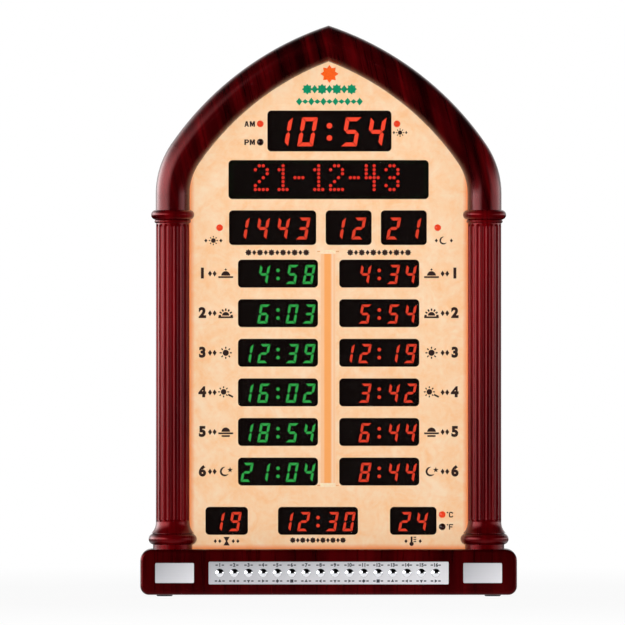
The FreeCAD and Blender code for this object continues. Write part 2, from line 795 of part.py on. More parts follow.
def column(name, side):
    """A fluted half-round front whose outer side runs straight to the rear.  The body's own Z
    axis is the column's."""
    body = new_body(name)
    profile = new_sketch(body, "XZ_Plane")
    column_profile(profile, side)
    revolve(body, profile, "V_Axis", 180.0, to_back=side > 0)
    depth = back_y - panel_y
    pad(body, profile, depth, to_front=False)

    # a web closes the foot over the plinth and takes the column screw
    web = new_sketch(body, "XY_Plane", size.base_top)
    reach = bore_radius + size.clearance
    draw_path(web, [(-reach, ZERO), (ZERO, -reach), (reach, ZERO)], {0: reach, 1: reach})
    floor = body.newObject("PartDesign::Pad", f"{name}_web")
    floor.Profile = web
    bind(floor, "Length", size.screw_bite + size.wall)
    hole = new_sketch(body, "XY_Plane", size.base_top)
    draw_circle(hole, ZERO, -bore_radius / 2, size.pilot_radius)
    drill = body.newObject("PartDesign::Pocket", f"{name}_pilot")
    drill.Profile = hole
    bind(drill, "Length", size.screw_bite + size.clearance)
    drill.Reversed = True

    # bosses for the panel on the inner side, for the rear cover on the outer side
    panel_bosses = upright_sketch(body, ZERO)
    for z in (size.low_boss, size.mid_boss, size.high_boss):
        draw_circle(panel_bosses, size.boss_inset * -side, z, size.boss_radius)
    pad(body, panel_bosses, boss_length(size.boss_radius))
    cover_bosses = upright_sketch(body, cover_y - panel_y)
    for z in (size.low_boss, size.high_boss):
        draw_circle(cover_bosses, size.boss_inset * side, z, size.cover_boss_radius)
    pad(body, cover_bosses, cover_y - panel_y + boss_length(size.cover_boss_radius))
    pilots = upright_sketch(body, ZERO)
    for z in (size.low_boss, size.mid_boss, size.high_boss):
        draw_circle(pilots, size.boss_inset * -side, z, size.pilot_radius)
    pocket(body, pilots, size.pilot_depth, to_front=True)
    cover_pilots = upright_sketch(body, cover_y - panel_y)
    for z in (size.low_boss, size.high_boss):
        draw_circle(cover_pilots, size.boss_inset * side, z, size.pilot_radius)
    pocket(body, cover_pilots, size.pilot_depth, to_front=True)

    # round-ended flutes, cut about an axis of their own and repeated around the shaft
    low = size.base_top + size.plinth_height + size.torus_height + size.quirk + size.cove_height
    low = low + size.flute_margin + size.flute_radius
    high = size.ring_top - size.ring_height - size.bead_height
    high = high - size.flute_margin - size.flute_radius
    axis = size.column_radius + size.flute_radius - size.flute_depth
    flute = new_sketch(body, "XZ_Plane", turn=-size.flute_pitch.value)
    flute.setExpression("AttachmentOffset.Rotation.Angle", f"{(-size.flute_pitch).text} * 1 deg")
    inner = axis - size.flute_radius
    draw_path(flute, [(axis, low - size.flute_radius), (axis, high + size.flute_radius),
                      (inner, high), (inner, low)],
              {1: size.flute_radius, 3: size.flute_radius})
    groove = body.newObject("PartDesign::Groove", f"{name}_flute")
    groove.Profile = flute
    flute.addGeometry(Part.LineSegment(Vector(axis.value, low.value, 0),
                                       Vector(axis.value, high.value, 0)), True)
    constrain(flute, fixed_point(4, 1, axis, low) + fixed_point(4, 2, axis, high))
    groove.ReferenceAxis = (flute, ["Axis0"])
    groove.Angle = 360.0
    flutes = body.newObject("PartDesign::PolarPattern", f"{name}_flutes")
    flutes.Originals = [groove]
    flutes.Axis = (profile, ["V_Axis"])
    bind(flutes, "Angle", size.flute_pitch * (FLUTE_COUNT - 1))
    flutes.Occurrences = FLUTE_COUNT
    flutes.Reversed = True
    body.Tip = flutes
    place(body, size.column_offset * side, panel_y, ZERO)
    return body


def boss_length(radius):
    """How far a boss may reach into the half-round before it breaks through its outside."""
    across = size.boss_inset + radius
    return root(size.column_radius * size.column_radius - across * across) - size.clearance


def column_screws():
    screws = []
    for number, (x, y) in enumerate(column_screw_places()):
        head = size.base_top - size.wall - size.head_height
        shank = rod(f"column_shank_{number}", x, y, head, size.screw_radius,
                    size.head_height + size.wall + size.screw_bite, TO_TOP)
        cap = rod(f"column_head_{number}", x, y, head, size.head_radius, size.head_height, TO_TOP)
        screws.append(fuse(f"column_screw_{number}", shank, cap))
    return group("column_screws", screws)


# ---------------------------------------------------------------- arch

def arch_panel_screws():
    return [shoulder_point(size.shoulder_boss, -size.boss_inset),
            crown_point(size.crown_boss, -size.boss_inset)]


def arch_cover_screws():
    return [crown_point(size.crown_boss, size.boss_inset)]


def arch_frame():
    """Right half: a half-round band whose outer wall runs to the rear, swept along the arch's
    line, with its bosses; then both halves as one moulding, mitred at the apex."""
    body = new_body("arch_half")
    path = upright_sketch(body, panel_y)
    spring, joint, apex = arch_points(ZERO)
    beyond = crown_point(-size.column_radius * 2, ZERO)
    draw_path(path, [(size.column_offset, size.ring_top), spring, joint, beyond],
              {1: size.shoulder_radius, 2: size.crown_radius}, closed=False)

    section = new_sketch(body, "XY_Plane", size.ring_top)
    outer, inner = size.band_half, bore_radius
    middle = size.column_offset
    draw_path(section, [
        (middle - outer, panel_y), (middle, panel_y - outer), (middle + outer, panel_y),
        (middle + outer, back_y), (middle + inner, back_y), (middle + inner, panel_y),
        (middle, panel_y - inner), (middle - inner, panel_y)],
        {0: outer, 1: outer, 5: -inner, 6: -inner})
    band = body.newObject("PartDesign::AdditivePipe", "arch_band")
    band.Profile = section
    band.Spine = (path, ["Edge1", "Edge2", "Edge3"])
    band.Mode = "Frenet"

    # a tongue on the leg that enters the column's hollow
    tongue = new_sketch(body, "XY_Plane", size.ring_top)
    fit = inner - size.clearance
    thin = fit - size.wall
    draw_path(tongue, [
        (middle - fit, panel_y), (middle, panel_y - fit), (middle + fit, panel_y),
        (middle + thin, panel_y), (middle, panel_y - thin), (middle - thin, panel_y)],
        {0: fit, 1: fit, 3: -thin, 4: -thin})
    spigot = body.newObject("PartDesign::Pad", "arch_spigot")
    spigot.Profile = tongue
    bind(spigot, "Length", size.spigot_height)
    spigot.Reversed = True
    seat = new_sketch(body, "XY_Plane", size.ring_top)
    reach = inner + size.clearance
    draw_path(seat, [
        (middle - reach, panel_y), (middle, panel_y - reach), (middle + reach, panel_y),
        (middle + thin, panel_y), (middle, panel_y - thin), (middle - thin, panel_y)],
        {0: reach, 1: reach, 3: -thin, 4: -thin})
    shelf = body.newObject("PartDesign::Pad", "arch_spigot_root")
    shelf.Profile = seat
    bind(shelf, "Length", size.wall)

    bosses = upright_sketch(body, panel_y)
    for x, z in arch_panel_screws():
        draw_circle(bosses, x, z, size.boss_radius)
    pad(body, bosses, boss_length(size.boss_radius))
    cover_bosses = upright_sketch(body, cover_y)
    for x, z in arch_cover_screws():
        draw_circle(cover_bosses, x, z, size.cover_boss_radius)
    pad(body, cover_bosses, cover_y - panel_y + boss_length(size.cover_boss_radius))
    pilots = upright_sketch(body, panel_y)
    for x, z in arch_panel_screws():
        draw_circle(pilots, x, z, size.pilot_radius)
    pocket(body, pilots, size.pilot_depth, to_front=True)
    cover_pilots = upright_sketch(body, cover_y)
    for x, z in arch_cover_screws():
        draw_circle(cover_pilots, x, z, size.pilot_radius)
    pocket(body, cover_pilots, size.pilot_depth, to_front=True)

    mitre = upright_sketch(body, back_y + size.wall)
    far = -size.column_radius * 4
    draw_path(mitre, [(far, springing), (ZERO, springing),
                      (ZERO, springing + size.crown_radius),
                      (far, springing + size.crown_radius)])
    pocket(body, mitre, size.column_radius * 6, to_front=True)
    whole = fuse("arch_frame", body, mirror("arch_other_half", body))
    whole.Label = "arch_frame"
    return whole


# ---------------------------------------------------------------- face panel and filter

panel_shift = -size.column_radius + size.panel_tuck
panel_half = size.column_offset + panel_shift
button_hole = size.button_radius + size.button_clearance
led_hole = size.led_radius + size.led_clearance
row_heights = [size.row_top - size.row_pitch * number for number in range(ROW_COUNT)]

LED_LIT = [(-size.clock_led_x, size.clock_led_high), (size.clock_led_x, size.clock_led_high),
           (-size.date_led_x, size.date_z), (size.date_led_x, size.date_z),
           (size.scale_led_x, size.scale_led_high)]
LED_DARK = [(-size.clock_led_x, size.clock_led_low), (size.scale_led_x, size.scale_led_low)]

TIME_WINDOW = (size.time_x, size.time_z, size.time_width, size.time_height)
MATRIX_WINDOW = (ZERO, size.matrix_z, size.matrix_width, size.matrix_height)
DATE_WINDOWS = [(size.year_x, size.date_z, size.year_width, size.date_height),
                (size.month_x, size.date_z, size.pair_width, size.date_height),
                (size.day_x, size.date_z, size.pair_width, size.date_height)]
FOOT_WINDOWS = [(size.foot_left_x, size.foot_z, size.foot_left_width, size.row_height),
                (size.foot_middle_x, size.foot_z, size.row_width, size.row_height),
                (size.foot_right_x, size.foot_z, size.foot_right_width, size.row_height)]

upper_board_low = size.upper_boss_low - size.board_margin
lower_board_low = size.board_boss_low - size.board_margin
lower_board_top = upper_board_low - size.board_gap
upper_board_top = size.time_z + size.time_height / 2 + size.filter_lap


def lower_board_screws():
    top = lower_board_top - size.board_margin
    middle = (size.board_boss_low + top) / 2
    return [(x, z) for x in both_sides(size.board_boss_x) for z in (size.board_boss_low, middle, top)]


def upper_board_screws():
    return [(x, z) for x in both_sides(size.upper_boss_x)
            for z in (size.upper_boss_low, size.upper_boss_high)]


def panel_screw_places():
    columns = [(x, z) for x in both_sides(size.column_offset - size.boss_inset)
               for z in (size.low_boss, size.mid_boss, size.high_boss)]
    right = arch_panel_screws()
    return columns + right + [(-x, z) for x, z in right]


def draw_arch_plate(sketch, shift, low_points):
    """A plate under the arch: the arch's line moved by shift, closed by the points below it."""
    spring, joint, apex = arch_points(shift)
    shoulder = size.shoulder_radius + shift
    crown = size.crown_radius + shift
    left = [(-x, z) for x, z in (joint, spring)]
    right_low = list(low_points)
    left_low = [(-x, z) for x, z in reversed(low_points)]
    points = right_low + [spring, joint, apex] + left + left_low
    first = len(right_low)
    draw_path(sketch, points, {first: shoulder, first + 1: crown, first + 2: crown,
                               first + 3: shoulder})


def cut_windows(body, y, depth, windows):
    sketch = upright_sketch(body, y)
    for x, z, width, height in windows:
        draw_rectangle(sketch, x, z, width, height, size.window_corner)
    return sketch, pocket(body, sketch, depth)


def face_panel():
    body = new_body("face_panel")
    outline = upright_sketch(body, panel_y)
    draw_arch_plate(outline, panel_shift, [(panel_half, size.base_top - size.wall)])
    pad(body, outline, size.panel_thickness, to_front=False)
    depth = size.panel_thickness * 2
    cut_windows(body, panel_y, depth, [TIME_WINDOW, MATRIX_WINDOW])
    cut_windows(body, panel_y, depth, DATE_WINDOWS)
    cut_windows(body, panel_y, depth, FOOT_WINDOWS)
    lowest = size.row_top - size.row_pitch * (ROW_COUNT - 1)
    rows = [(x, lowest, size.row_width, size.row_height) for x in both_sides(size.row_x)]
    sketch, first_row = cut_windows(body, panel_y, depth, rows)
    repeat(body, first_row, (sketch, ["V_Axis"]), size.row_pitch, ROW_COUNT)

    # bosses behind the panel carry both display boards
    bosses = upright_sketch(body, panel_back)
    for x, z in lower_board_screws() + upper_board_screws():
        draw_circle(bosses, x, z, size.boss_radius)
    pad(body, bosses, board_front - panel_back, to_front=False)
    pilots = upright_sketch(body, board_front)
    for x, z in lower_board_screws() + upper_board_screws():
        draw_circle(pilots, x, z, size.pilot_radius)
    pocket(body, pilots, size.pilot_depth, to_front=True)

    holes = upright_sketch(body, panel_y)
    for x, z in LED_LIT + LED_DARK:
        draw_circle(holes, x, z, led_hole)
    for x, z in panel_screw_places():
        draw_circle(holes, x, z, size.screw_radius + size.clearance)
    pocket(body, holes, depth)
    return body


def window_filter():
    """One smoked sheet behind all the windows, stepped to stay under the arch."""
    body = new_body("window_filter")
    sketch = upright_sketch(body, panel_back)
    low = size.foot_z - size.row_height / 2 - size.filter_lap
    first = size.date_z + size.date_height / 2 + size.filter_lap
    second = size.matrix_z + size.matrix_height / 2 + size.filter_lap
    top = size.time_z + size.time_height / 2 + size.filter_lap
    wide, mid, narrow = size.filter_half_low, size.filter_half_mid, size.filter_half_top
    draw_path(sketch, [(-wide, low), (wide, low), (wide, first), (mid, first), (mid, second),
                       (narrow, second), (narrow, top), (-narrow, top), (-narrow, second),
                       (-mid, second), (-mid, first), (-wide, first)])
    pad(body, sketch, size.filter_thickness, to_front=False)
    holes = upright_sketch(body, panel_back)
    inside = [place for place in LED_LIT + LED_DARK if place[1].value < first.value]
    for x, z in inside:
        draw_circle(holes, x, z, led_hole)
    pocket(body, holes, size.filter_thickness * 2)
    return body


def heads_behind(name, places, head_y, bite):
    """Screws driven from behind: head at head_y, shank towards the front."""
    screws = []
    for number, (x, z) in enumerate(places):
        cap = rod(f"{name}_head_{number}", x, head_y, z, size.head_radius, size.head_height)
        shank = rod(f"{name}_shank_{number}", x, head_y - bite, z, size.screw_radius,
                    bite + size.head_height / 2)
        cross = [block(f"{name}_slot_{number}", x, head_y + size.head_height / 2, z,
                       size.screw_radius * 2, size.head_height, size.screw_radius / 2),
                 block(f"{name}_cross_{number}", x, head_y + size.head_height / 2, z,
                       size.screw_radius / 2, size.head_height, size.screw_radius * 2)]
        screws.append(cut(f"{name}_{number}", fuse(f"{name}_blank_{number}", cap, shank), *cross))
    return group(name, screws)


# ---------------------------------------------------------------- displays

def display_cases(name, windows):
    """Black display cases behind the windows, one for each."""
    cases = []
    for number, (x, z, width, height) in enumerate(windows):
        cases.append(block(f"{name}_{number}", x, case_front, z, width + size.case_lap * 2,
                           size.case_depth, height + size.case_lap * 2))
    return group(name, cases)


def matrix_display():
    """Dot-matrix modules side by side."""
    side = size.dot_pitch * DOTS_PER_MODULE
    middle = (MATRIX_MODULES - 1) / 2
    modules = [block(f"matrix_module_{number}", side * (number - middle), case_front, size.matrix_z,
                     side, size.case_depth, side) for number in range(MATRIX_MODULES)]
    return group("matrix_display", modules)


SEGMENTS_LIT = {
    "0": "abcdef", "1": "bc", "2": "abdeg", "3": "abcdg", "4": "bcfg",
    "5": "acdfg", "6": "acdefg", "7": "abc", "8": "abcdefg", "9": "abcdfg", " ": ""}


class Digits:
    """The measures of one size of digit."""

    def __init__(self, width, height, stroke):
        self.width, self.height, self.stroke = width.value, height.value, stroke.value

    def segment(self, letter):
        """One segment about the digit's centre, before it leans: its ends are mitred where two
        segments meet at a corner of the digit and pointed at the middle bar."""
        edge, rise, stroke = self.width / 2, self.height / 2, self.stroke
        gap, half = size.segment_gap.value, stroke / 2
        if letter == "g":
            tip, shoulder = edge - half - gap, edge - stroke - gap
            return [Vector(x, z, 0) for x, z in (
                (-tip, 0), (-shoulder, half), (shoulder, half), (tip, 0), (shoulder, -half),
                (-shoulder, -half))]
        if letter in "ad":
            corners = [(gap - edge, rise), (edge - gap, rise), (edge - stroke - gap, rise - stroke),
                       (stroke + gap - edge, rise - stroke)]
        else:
            corners = [(edge, rise - gap), (edge, half + gap), (edge - half, gap),
                       (edge - stroke, half + gap), (edge - stroke, rise - stroke - gap)]
        across, up = (-1 if letter in "ef" else 1), (-1 if letter in "cde" else 1)
        return [Vector(x * across, z * up, 0) for x, z in corners]


def light(corners):
    """A thin lit shape on the display's face."""
    wire = Part.makePolygon(corners + corners[:1])
    return Part.Face(wire).extrude(Vector(0, size.light_thickness.value, 0))


def lean(x, z, point):
    shear = math.tan(math.radians(size.slant.value))
    return Vector(x + point.x + point.y * shear, light_front.value,
                  z + point.y - size.digit_drop.value)


def digit_lights(digits, x, z, character):
    """Lit and dark segments of one digit."""
    lit, dark = [], []
    for letter in "abcdefg":
        solid = light([lean(x.value, z.value, point) for point in digits.segment(letter)])
        (lit if letter in SEGMENTS_LIT[character] else dark).append(solid)
    return lit, dark


def colon_lights(digits, x, z):
    """Two round dots between the hours and the minutes."""
    rise = digits.height * COLON_RISE
    return [Part.makeCylinder(digits.stroke * COLON_DOT, size.light_thickness.value,
                              lean(x.value, (z + height).value, Vector()), Vector(0, 1, 0))
            for height in (rise, -rise)]


TIME_DIGITS = Digits(size.time_digit_width, size.time_digit_height, size.time_stroke)
DATE_DIGITS = Digits(size.date_digit_width, size.date_digit_height, size.date_stroke)
SMALL_DIGITS = Digits(size.small_digit_width, size.small_digit_height, size.small_stroke)

COLON_RISE = 0.21  # of the digit's height, from the middle to either dot
COLON_DOT = 0.72  # of the stroke, radius of a dot

LEFT_TIMES = [" 458", " 603", "1239", "1602", "1854", "2104"]
RIGHT_TIMES = [" 434", " 554", "1219", " 342", " 644", " 844"]


def four_digits(x, text, pitch, split):
    """Two digits on each side of a colon at x, each with its place."""
    return zip([x - split - pitch, x - split, x + split, x + split + pitch], text)


def display_lights():
    """Every digit of the face: (digits, x, z, character, colour)."""
    rows = []
    for height, left, right in zip(row_heights, LEFT_TIMES, RIGHT_TIMES):
        for x, text, colour in ((-size.row_x, left, "green"), (size.row_x, right, "red")):
            rows += [(SMALL_DIGITS, place, height, character, colour) for place, character in
                     four_digits(x, text, size.small_pitch, size.small_split)]
    rows += [(TIME_DIGITS, place, size.time_z, character, "red") for place, character in
             four_digits(size.time_x, "1054", size.time_pitch, size.time_split)]
    rows += [(SMALL_DIGITS, place, size.foot_z, character, "red") for place, character in
             four_digits(size.foot_middle_x, "1230", size.small_pitch, size.small_split)]
    for x, text in ((size.foot_left_x, "19"), (size.foot_right_x, "24")):
        for character, offset in zip(text, (-0.5, 0.5)):
            rows.append((SMALL_DIGITS, x + size.small_pitch * offset, size.foot_z, character, "red"))
    for x, text in ((size.year_x, "1443"), (size.month_x, "12"), (size.day_x, "21")):
        first = (1 - len(text)) / 2
        for number, character in enumerate(text):
            place = x + size.date_pitch * (first + number)
            rows.append((DATE_DIGITS, place, size.date_z, character, "red"))
    return rows


def display_colons():
    """Every colon of the face: (digits, x, z, colour)."""
    rows = [(SMALL_DIGITS, x, height, colour) for height in row_heights
            for x, colour in ((-size.row_x, "green"), (size.row_x, "red"))]
    rows.append((TIME_DIGITS, size.time_x, size.time_z, "red"))
    rows.append((SMALL_DIGITS, size.foot_middle_x, size.foot_z, "red"))
    return rows


def shape_node(name, shapes):
    node = doc.addObject("Part::Feature", name)
    node.Label = name
    node.Shape = Part.makeCompound(shapes)
    return node


def segment_nodes():
    lights = {"red": [], "green": [], "dark": []}
    for digits, x, z, character, colour in display_lights():
        lit, dark = digit_lights(digits, x, z, character)
        lights[colour] += lit
        lights["dark"] += dark
    for digits, x, z, colour in display_colons():
        lights[colour] += colon_lights(digits, x, z)
    return [shape_node(f"{colour}_segments", solids) for colour, solids in lights.items()]


# plain numbers for the dot-matrix line: one string per row of dots, the top row first
MATRIX_GLYPHS = {
    "1": ("0010", "0110", "0010", "0010", "0010", "0010", "0111"),
    "2": ("0110", "1001", "0001", "0010", "0100", "1000", "1111"),
    "3": ("0110", "1001", "0001", "0110", "0001", "1001", "0110"),
    "4": ("1010", "1010", "1010", "1111", "0010", "0010", "0010"),
    "-": ("000", "000", "000", "111", "000", "000", "000")}
MATRIX_TEXT = "21-12-43"


def lit_dots():
    """Column and row, from the lower left, of each lit dot of the centred text."""
    glyphs = [MATRIX_GLYPHS[character] for character in MATRIX_TEXT]
    width = sum(len(glyph[0]) + 1 for glyph in glyphs) - 1
    start = (MATRIX_MODULES * DOTS_PER_MODULE - width) // 2
    dots = set()
    for glyph in glyphs:
        for row, line in enumerate(glyph):
            dots.update((start + number, DOTS_PER_MODULE - 1 - row)
                        for number, mark in enumerate(line) if mark == "1")
        start += len(glyph[0]) + 1
    return dots


def matrix_dots():
    columns = MATRIX_MODULES * DOTS_PER_MODULE
    pitch = size.dot_pitch.value
    lit_places = lit_dots()
    lit, dark = [], []
    for column_number in range(columns):
        for row in range(DOTS_PER_MODULE):
            x = pitch * (column_number - (columns - 1) / 2)
            z = size.matrix_z.value + pitch * (row - (DOTS_PER_MODULE - 1) / 2)
            dot = Part.makeCylinder(size.dot_radius.value, size.light_thickness.value,
                                    Vector(x, light_front.value, z), Vector(0, 1, 0))
            (lit if (column_number, row) in lit_places else dark).append(dot)
    return [shape_node("matrix_dots_lit", lit), shape_node("matrix_dots_dark", dark)]


def indicator_leds(name, places):
    """5 mm LEDs: a domed lens with a rim, and two leads down to the board."""
    leds = []
    for number, (x, z) in enumerate(places):
        tip = panel_y - size.light_thickness
        base = tip + size.led_length
        dome = tip + size.led_radius
        lens = turned_part(f"{name}_lens_{number}", [
            (ZERO, tip), (size.led_radius, dome), (size.led_radius, base - size.led_lead * 2),
            (size.led_flange, base - size.led_lead * 2), (size.led_flange, base), (ZERO, base)],
            {0: size.led_radius}, at=(x, z))
        leads = [block(f"{name}_lead_{number}_{side}", x + size.led_radius * side / 2,
                       base - size.led_lead, z, size.led_lead,
                       board_front - base + size.led_lead, size.led_lead) for side in (-1, 1)]
        leds.append(fuse(f"{name}_{number}", lens, *leads))
    return group(name, leds)


# ---------------------------------------------------------------- boards

def board(name, half, low, high, screws):
    body = new_body(name)
    sketch = upright_sketch(body, board_front)
    draw_path(sketch, [(-half, low), (half, low), (half, high), (-half, high)])
    pad(body, sketch, size.board_thickness, to_front=False)
    holes = upright_sketch(body, board_front)
    for x, z in screws:
        draw_circle(holes, x, z, size.screw_radius + size.clearance)
    pocket(body, holes, size.board_thickness * 2)
    return body


# chips: how far across and up their board, as shares of its half width and of its height
LOWER_CHIPS = [(-0.4, 0.28), (-0.46, 0.74), (0.46, 0.24), (0.46, 0.34), (0.46, 0.62)]
UPPER_CHIPS = [(-0.35, 0.3), (0.35, 0.3)]
CONTROLLER = (-0.4, 0.2)


def board_chips():
    """Controller, clock chip and display drivers on the back of both boards."""
    def chip(name, place, low, high, half, long, wide):
        across, up = place
        return block(name, half * across, board_back, low + (high - low) * up, long,
                     size.chip_depth, wide)

    lower = (lower_board_low, lower_board_top, size.lower_board_half)
    upper = (upper_board_low, upper_board_top, size.upper_board_half)
    chips = [chip("controller", CONTROLLER, *lower, size.controller_long, size.controller_wide)]
    for layer, places, board_sizes in (("lower", LOWER_CHIPS, lower), ("upper", UPPER_CHIPS, upper)):
        chips += [chip(f"{layer}_chip_{number}", place, *board_sizes, size.chip_long, size.chip_wide)
                  for number, place in enumerate(places)]
    return group("board_chips", chips)


def board_capacitors():
    """Electrolytic capacitors near the supply, upright on the lower board."""
    across, up = size.capacitor_x, size.capacitor_z
    step = size.capacitor_radius * 2 + size.wall
    places = [(across, up), (across, up + step), (across - step, up)]
    return group("board_capacitors", [
        rod(f"capacitor_{number}", x, board_back, z, size.capacitor_radius, size.capacitor_height)
        for number, (x, z) in enumerate(places)])


# ---------------------------------------------------------------- buttons and their board

rim_front = wall_back
stem_back = rim_front + size.button_rim + size.button_stem
plunger_front = stem_back + size.button_travel + size.switch_gap
switch_front = plunger_front + size.plunger_height
key_board_front = switch_front + size.switch_depth


def button(name, x):
    """A domed chrome cap with a rim behind the wall and a stem for its switch."""
    tip = front_y - size.button_proud
    edge = tip + size.button_crown
    cap = size.button_radius
    crown = (cap * cap + size.button_crown * size.button_crown) / (size.button_crown * 2)
    rim_back = rim_front + size.button_rim
    return turned_part(name, [
        (ZERO, tip), (cap, edge), (cap, rim_front), (size.button_flange, rim_front),
        (size.button_flange, rim_back), (size.plunger_radius, rim_back),
        (size.plunger_radius, stem_back), (ZERO, stem_back)], {0: crown}, at=(x, size.button_z))


def button_board():
    body = new_body("button_board")
    sketch = upright_sketch(body, key_board_front)
    draw_rectangle(sketch, ZERO, size.button_z, size.key_board_width, size.key_board_height)
    pad(body, sketch, size.board_thickness, to_front=False)
    holes = upright_sketch(body, key_board_front)
    for x, z in key_board_places():
        draw_circle(holes, x, z, size.screw_radius + size.clearance)
    pocket(body, holes, size.board_thickness * 2)
    return body


def tact_switches():
    switches = []
    for number, x in enumerate(button_places()):
        case = block(f"switch_case_{number}", x, switch_front, size.button_z, size.switch_size,
                     size.switch_depth, size.switch_size)
        plunger = rod(f"switch_plunger_{number}", x, plunger_front, size.button_z,
                      size.plunger_radius, size.plunger_height + size.switch_depth / 2)
        switches.append(fuse(f"switch_{number}", case, plunger))
    return group("tact_switches", switches)


def ribbon_cable():
    """Flat cable up from the button board to the lower board, soldered to both at the back."""
    body = new_body("ribbon_cable")
    sketch = new_sketch(body, "YZ_Plane", size.ribbon_x - size.ribbon_width / 2)
    thick = size.ribbon_thickness
    low = size.button_z
    start = key_board_front + size.board_thickness
    end = board_back
    high = lower_board_low + size.wall * 2
    key_board_top = low + size.key_board_height / 2
    turn = (key_board_top + size.base_top - size.wall - thick) / 2
    draw_path(sketch, [
        (start, low), (start + thick, low), (start + thick, turn), (end + thick, turn),
        (end + thick, high), (end, high), (end, turn + thick), (start, turn + thick)])
    sheet_pad = body.newObject("PartDesign::Pad", "ribbon_pad")
    sheet_pad.Profile = sketch
    bind(sheet_pad, "Length", size.ribbon_width)
    return body


# ---------------------------------------------------------------- rear cover and what it carries

def cover_screw_places():
    columns = [(x, z) for x in both_sides(size.column_offset + size.boss_inset)
               for z in (size.low_boss, size.high_boss)]
    plinth = [(x, size.base_boss_z) for x in both_sides(base_boss_x)]
    right = arch_cover_screws()
    return columns + plinth + right + [(-x, z) for x, z in right]


speaker_boss = (size.speaker_radius + size.boss_radius + size.clearance) * sine(as_size(45))
door_mid = size.door_z + size.door_height / 2


def speaker_screw_places():
    return [(size.speaker_x + dx, size.speaker_z + dz) for dx in both_sides(speaker_boss)
            for dz in both_sides(speaker_boss)]


def back_cover():
    body = new_body("back_cover")
    outline = upright_sketch(body, cover_y)
    low = base_bottom + size.wall + size.clearance
    high = size.base_top - size.wall - size.clearance
    shift = bore_radius - size.clearance
    corner = size.base_bottom_radius - size.wall - size.clearance
    shoulder = size.base_top_radius - size.wall - size.clearance
    draw_cover_outline(outline, shift, low, high, corner, shoulder)
    pad(body, outline, size.cover_thickness, to_front=False)

    # bosses as high as the loudspeaker's rim, for the washers that clamp it
    bosses = upright_sketch(body, cover_y)
    for x, z in speaker_screw_places():
        draw_circle(bosses, x, z, size.boss_radius)
    pad(body, bosses, size.speaker_flange)
    pilots = upright_sketch(body, cover_y - size.speaker_flange)
    for x, z in speaker_screw_places():
        draw_circle(pilots, x, z, size.pilot_radius)
    pocket(body, pilots, size.wall)

    # grille slots: a column of them that fills a circle
    slots = upright_sketch(body, back_y)
    for number in range(GRILLE_COUNT):
        rise = size.grille_pitch * (number - (GRILLE_COUNT - 1) / 2)
        half = root(size.grille_radius * size.grille_radius - rise * rise)
        draw_rectangle(slots, size.speaker_x, size.speaker_z + rise, half * 2, size.grille_slot,
                       size.grille_corner)
    pocket(body, slots, size.cover_thickness * 2, to_front=True)

    # keyholes
    keyholes = upright_sketch(body, back_y)
    for x in both_sides(size.keyhole_x):
        draw_keyhole(keyholes, x)
    pocket(body, keyholes, size.cover_thickness * 2, to_front=True)

    # cover screws in counterbores, hole for the inlet
    holes = upright_sketch(body, back_y)
    for x, z in cover_screw_places():
        draw_circle(holes, x, z, size.screw_radius + size.clearance)
    draw_circle(holes, inlet_x, size.inlet_z, size.inlet_radius + size.clearance / 2)
    pocket(body, holes, size.cover_thickness * 2, to_front=True)
    sinks = upright_sketch(body, back_y)
    for x, z in cover_screw_places():
        draw_circle(sinks, x, z, size.head_radius + size.clearance)
    pocket(body, sinks, size.head_sink, to_front=True)

    # battery hatch: a recess for the door, a ledge around the opening, slots for the hinge tabs
    recess = upright_sketch(body, back_y)
    gap = size.clearance * 2
    draw_rectangle(recess, size.door_x, door_mid, size.door_width + gap, size.door_height + gap)
    pocket(body, recess, size.door_thickness, to_front=True)
    opening = upright_sketch(body, back_y)
    ledge = size.door_ledge * 2
    draw_rectangle(opening, size.door_x, door_mid, size.door_width - ledge, size.door_height - ledge)
    pocket(body, opening, size.cover_thickness * 2, to_front=True)
    slots = upright_sketch(body, cover_y)
    for side in (-1, 1):
        draw_path(slots, tab_slot(side))
    pocket(body, slots, size.cover_thickness - size.door_thickness + size.clearance)
    return body


def draw_cover_outline(sketch, shift, low, high, corner, shoulder):
    right_low = [(cover_half - corner, low), (cover_half, low + corner),
                 (cover_half, high - shoulder), (cover_half - shoulder, high),
                 (size.column_offset + shift, high)]
    spring, joint, apex = arch_points(shift)
    left = [(-x, z) for x, z in (joint, spring)]
    left_low = [(-x, z) for x, z in reversed(right_low)]
    points = right_low + [spring, joint, apex] + left + left_low
    arch = size.shoulder_radius + shift
    crown = size.crown_radius + shift
    draw_path(sketch, points, {0: corner, 2: shoulder, 5: arch, 6: crown, 7: crown, 8: arch,
                               11: shoulder, 13: corner})


def draw_keyhole(sketch, x):
    """A round entry with a narrower slot above it, in one outline."""
    slot, entry = size.keyhole_slot, size.keyhole_radius
    neck = size.keyhole_z + root(entry * entry - slot * slot)
    top = size.keyhole_z + size.keyhole_rise
    points = [(x, size.keyhole_z - entry), (x + entry, size.keyhole_z), (x + slot, neck),
              (x + slot, top), (x, top + slot), (x - slot, top), (x - slot, neck),
              (x - entry, size.keyhole_z)]
    draw_path(sketch, points, {0: entry, 1: entry, 3: slot, 4: slot, 6: entry, 7: entry})


def tab_slot(side):
    """Room inside the cover for a hinge tab of the battery door."""
    middle = size.door_x + size.door_width / 4 * side
    half = size.hinge_tab / 2 + size.clearance
    low = size.door_z - size.hinge_reach - size.clearance
    high = size.door_z + size.door_ledge * 2
    return [(middle - half, low), (middle + half, low), (middle + half, high), (middle - half, high)]


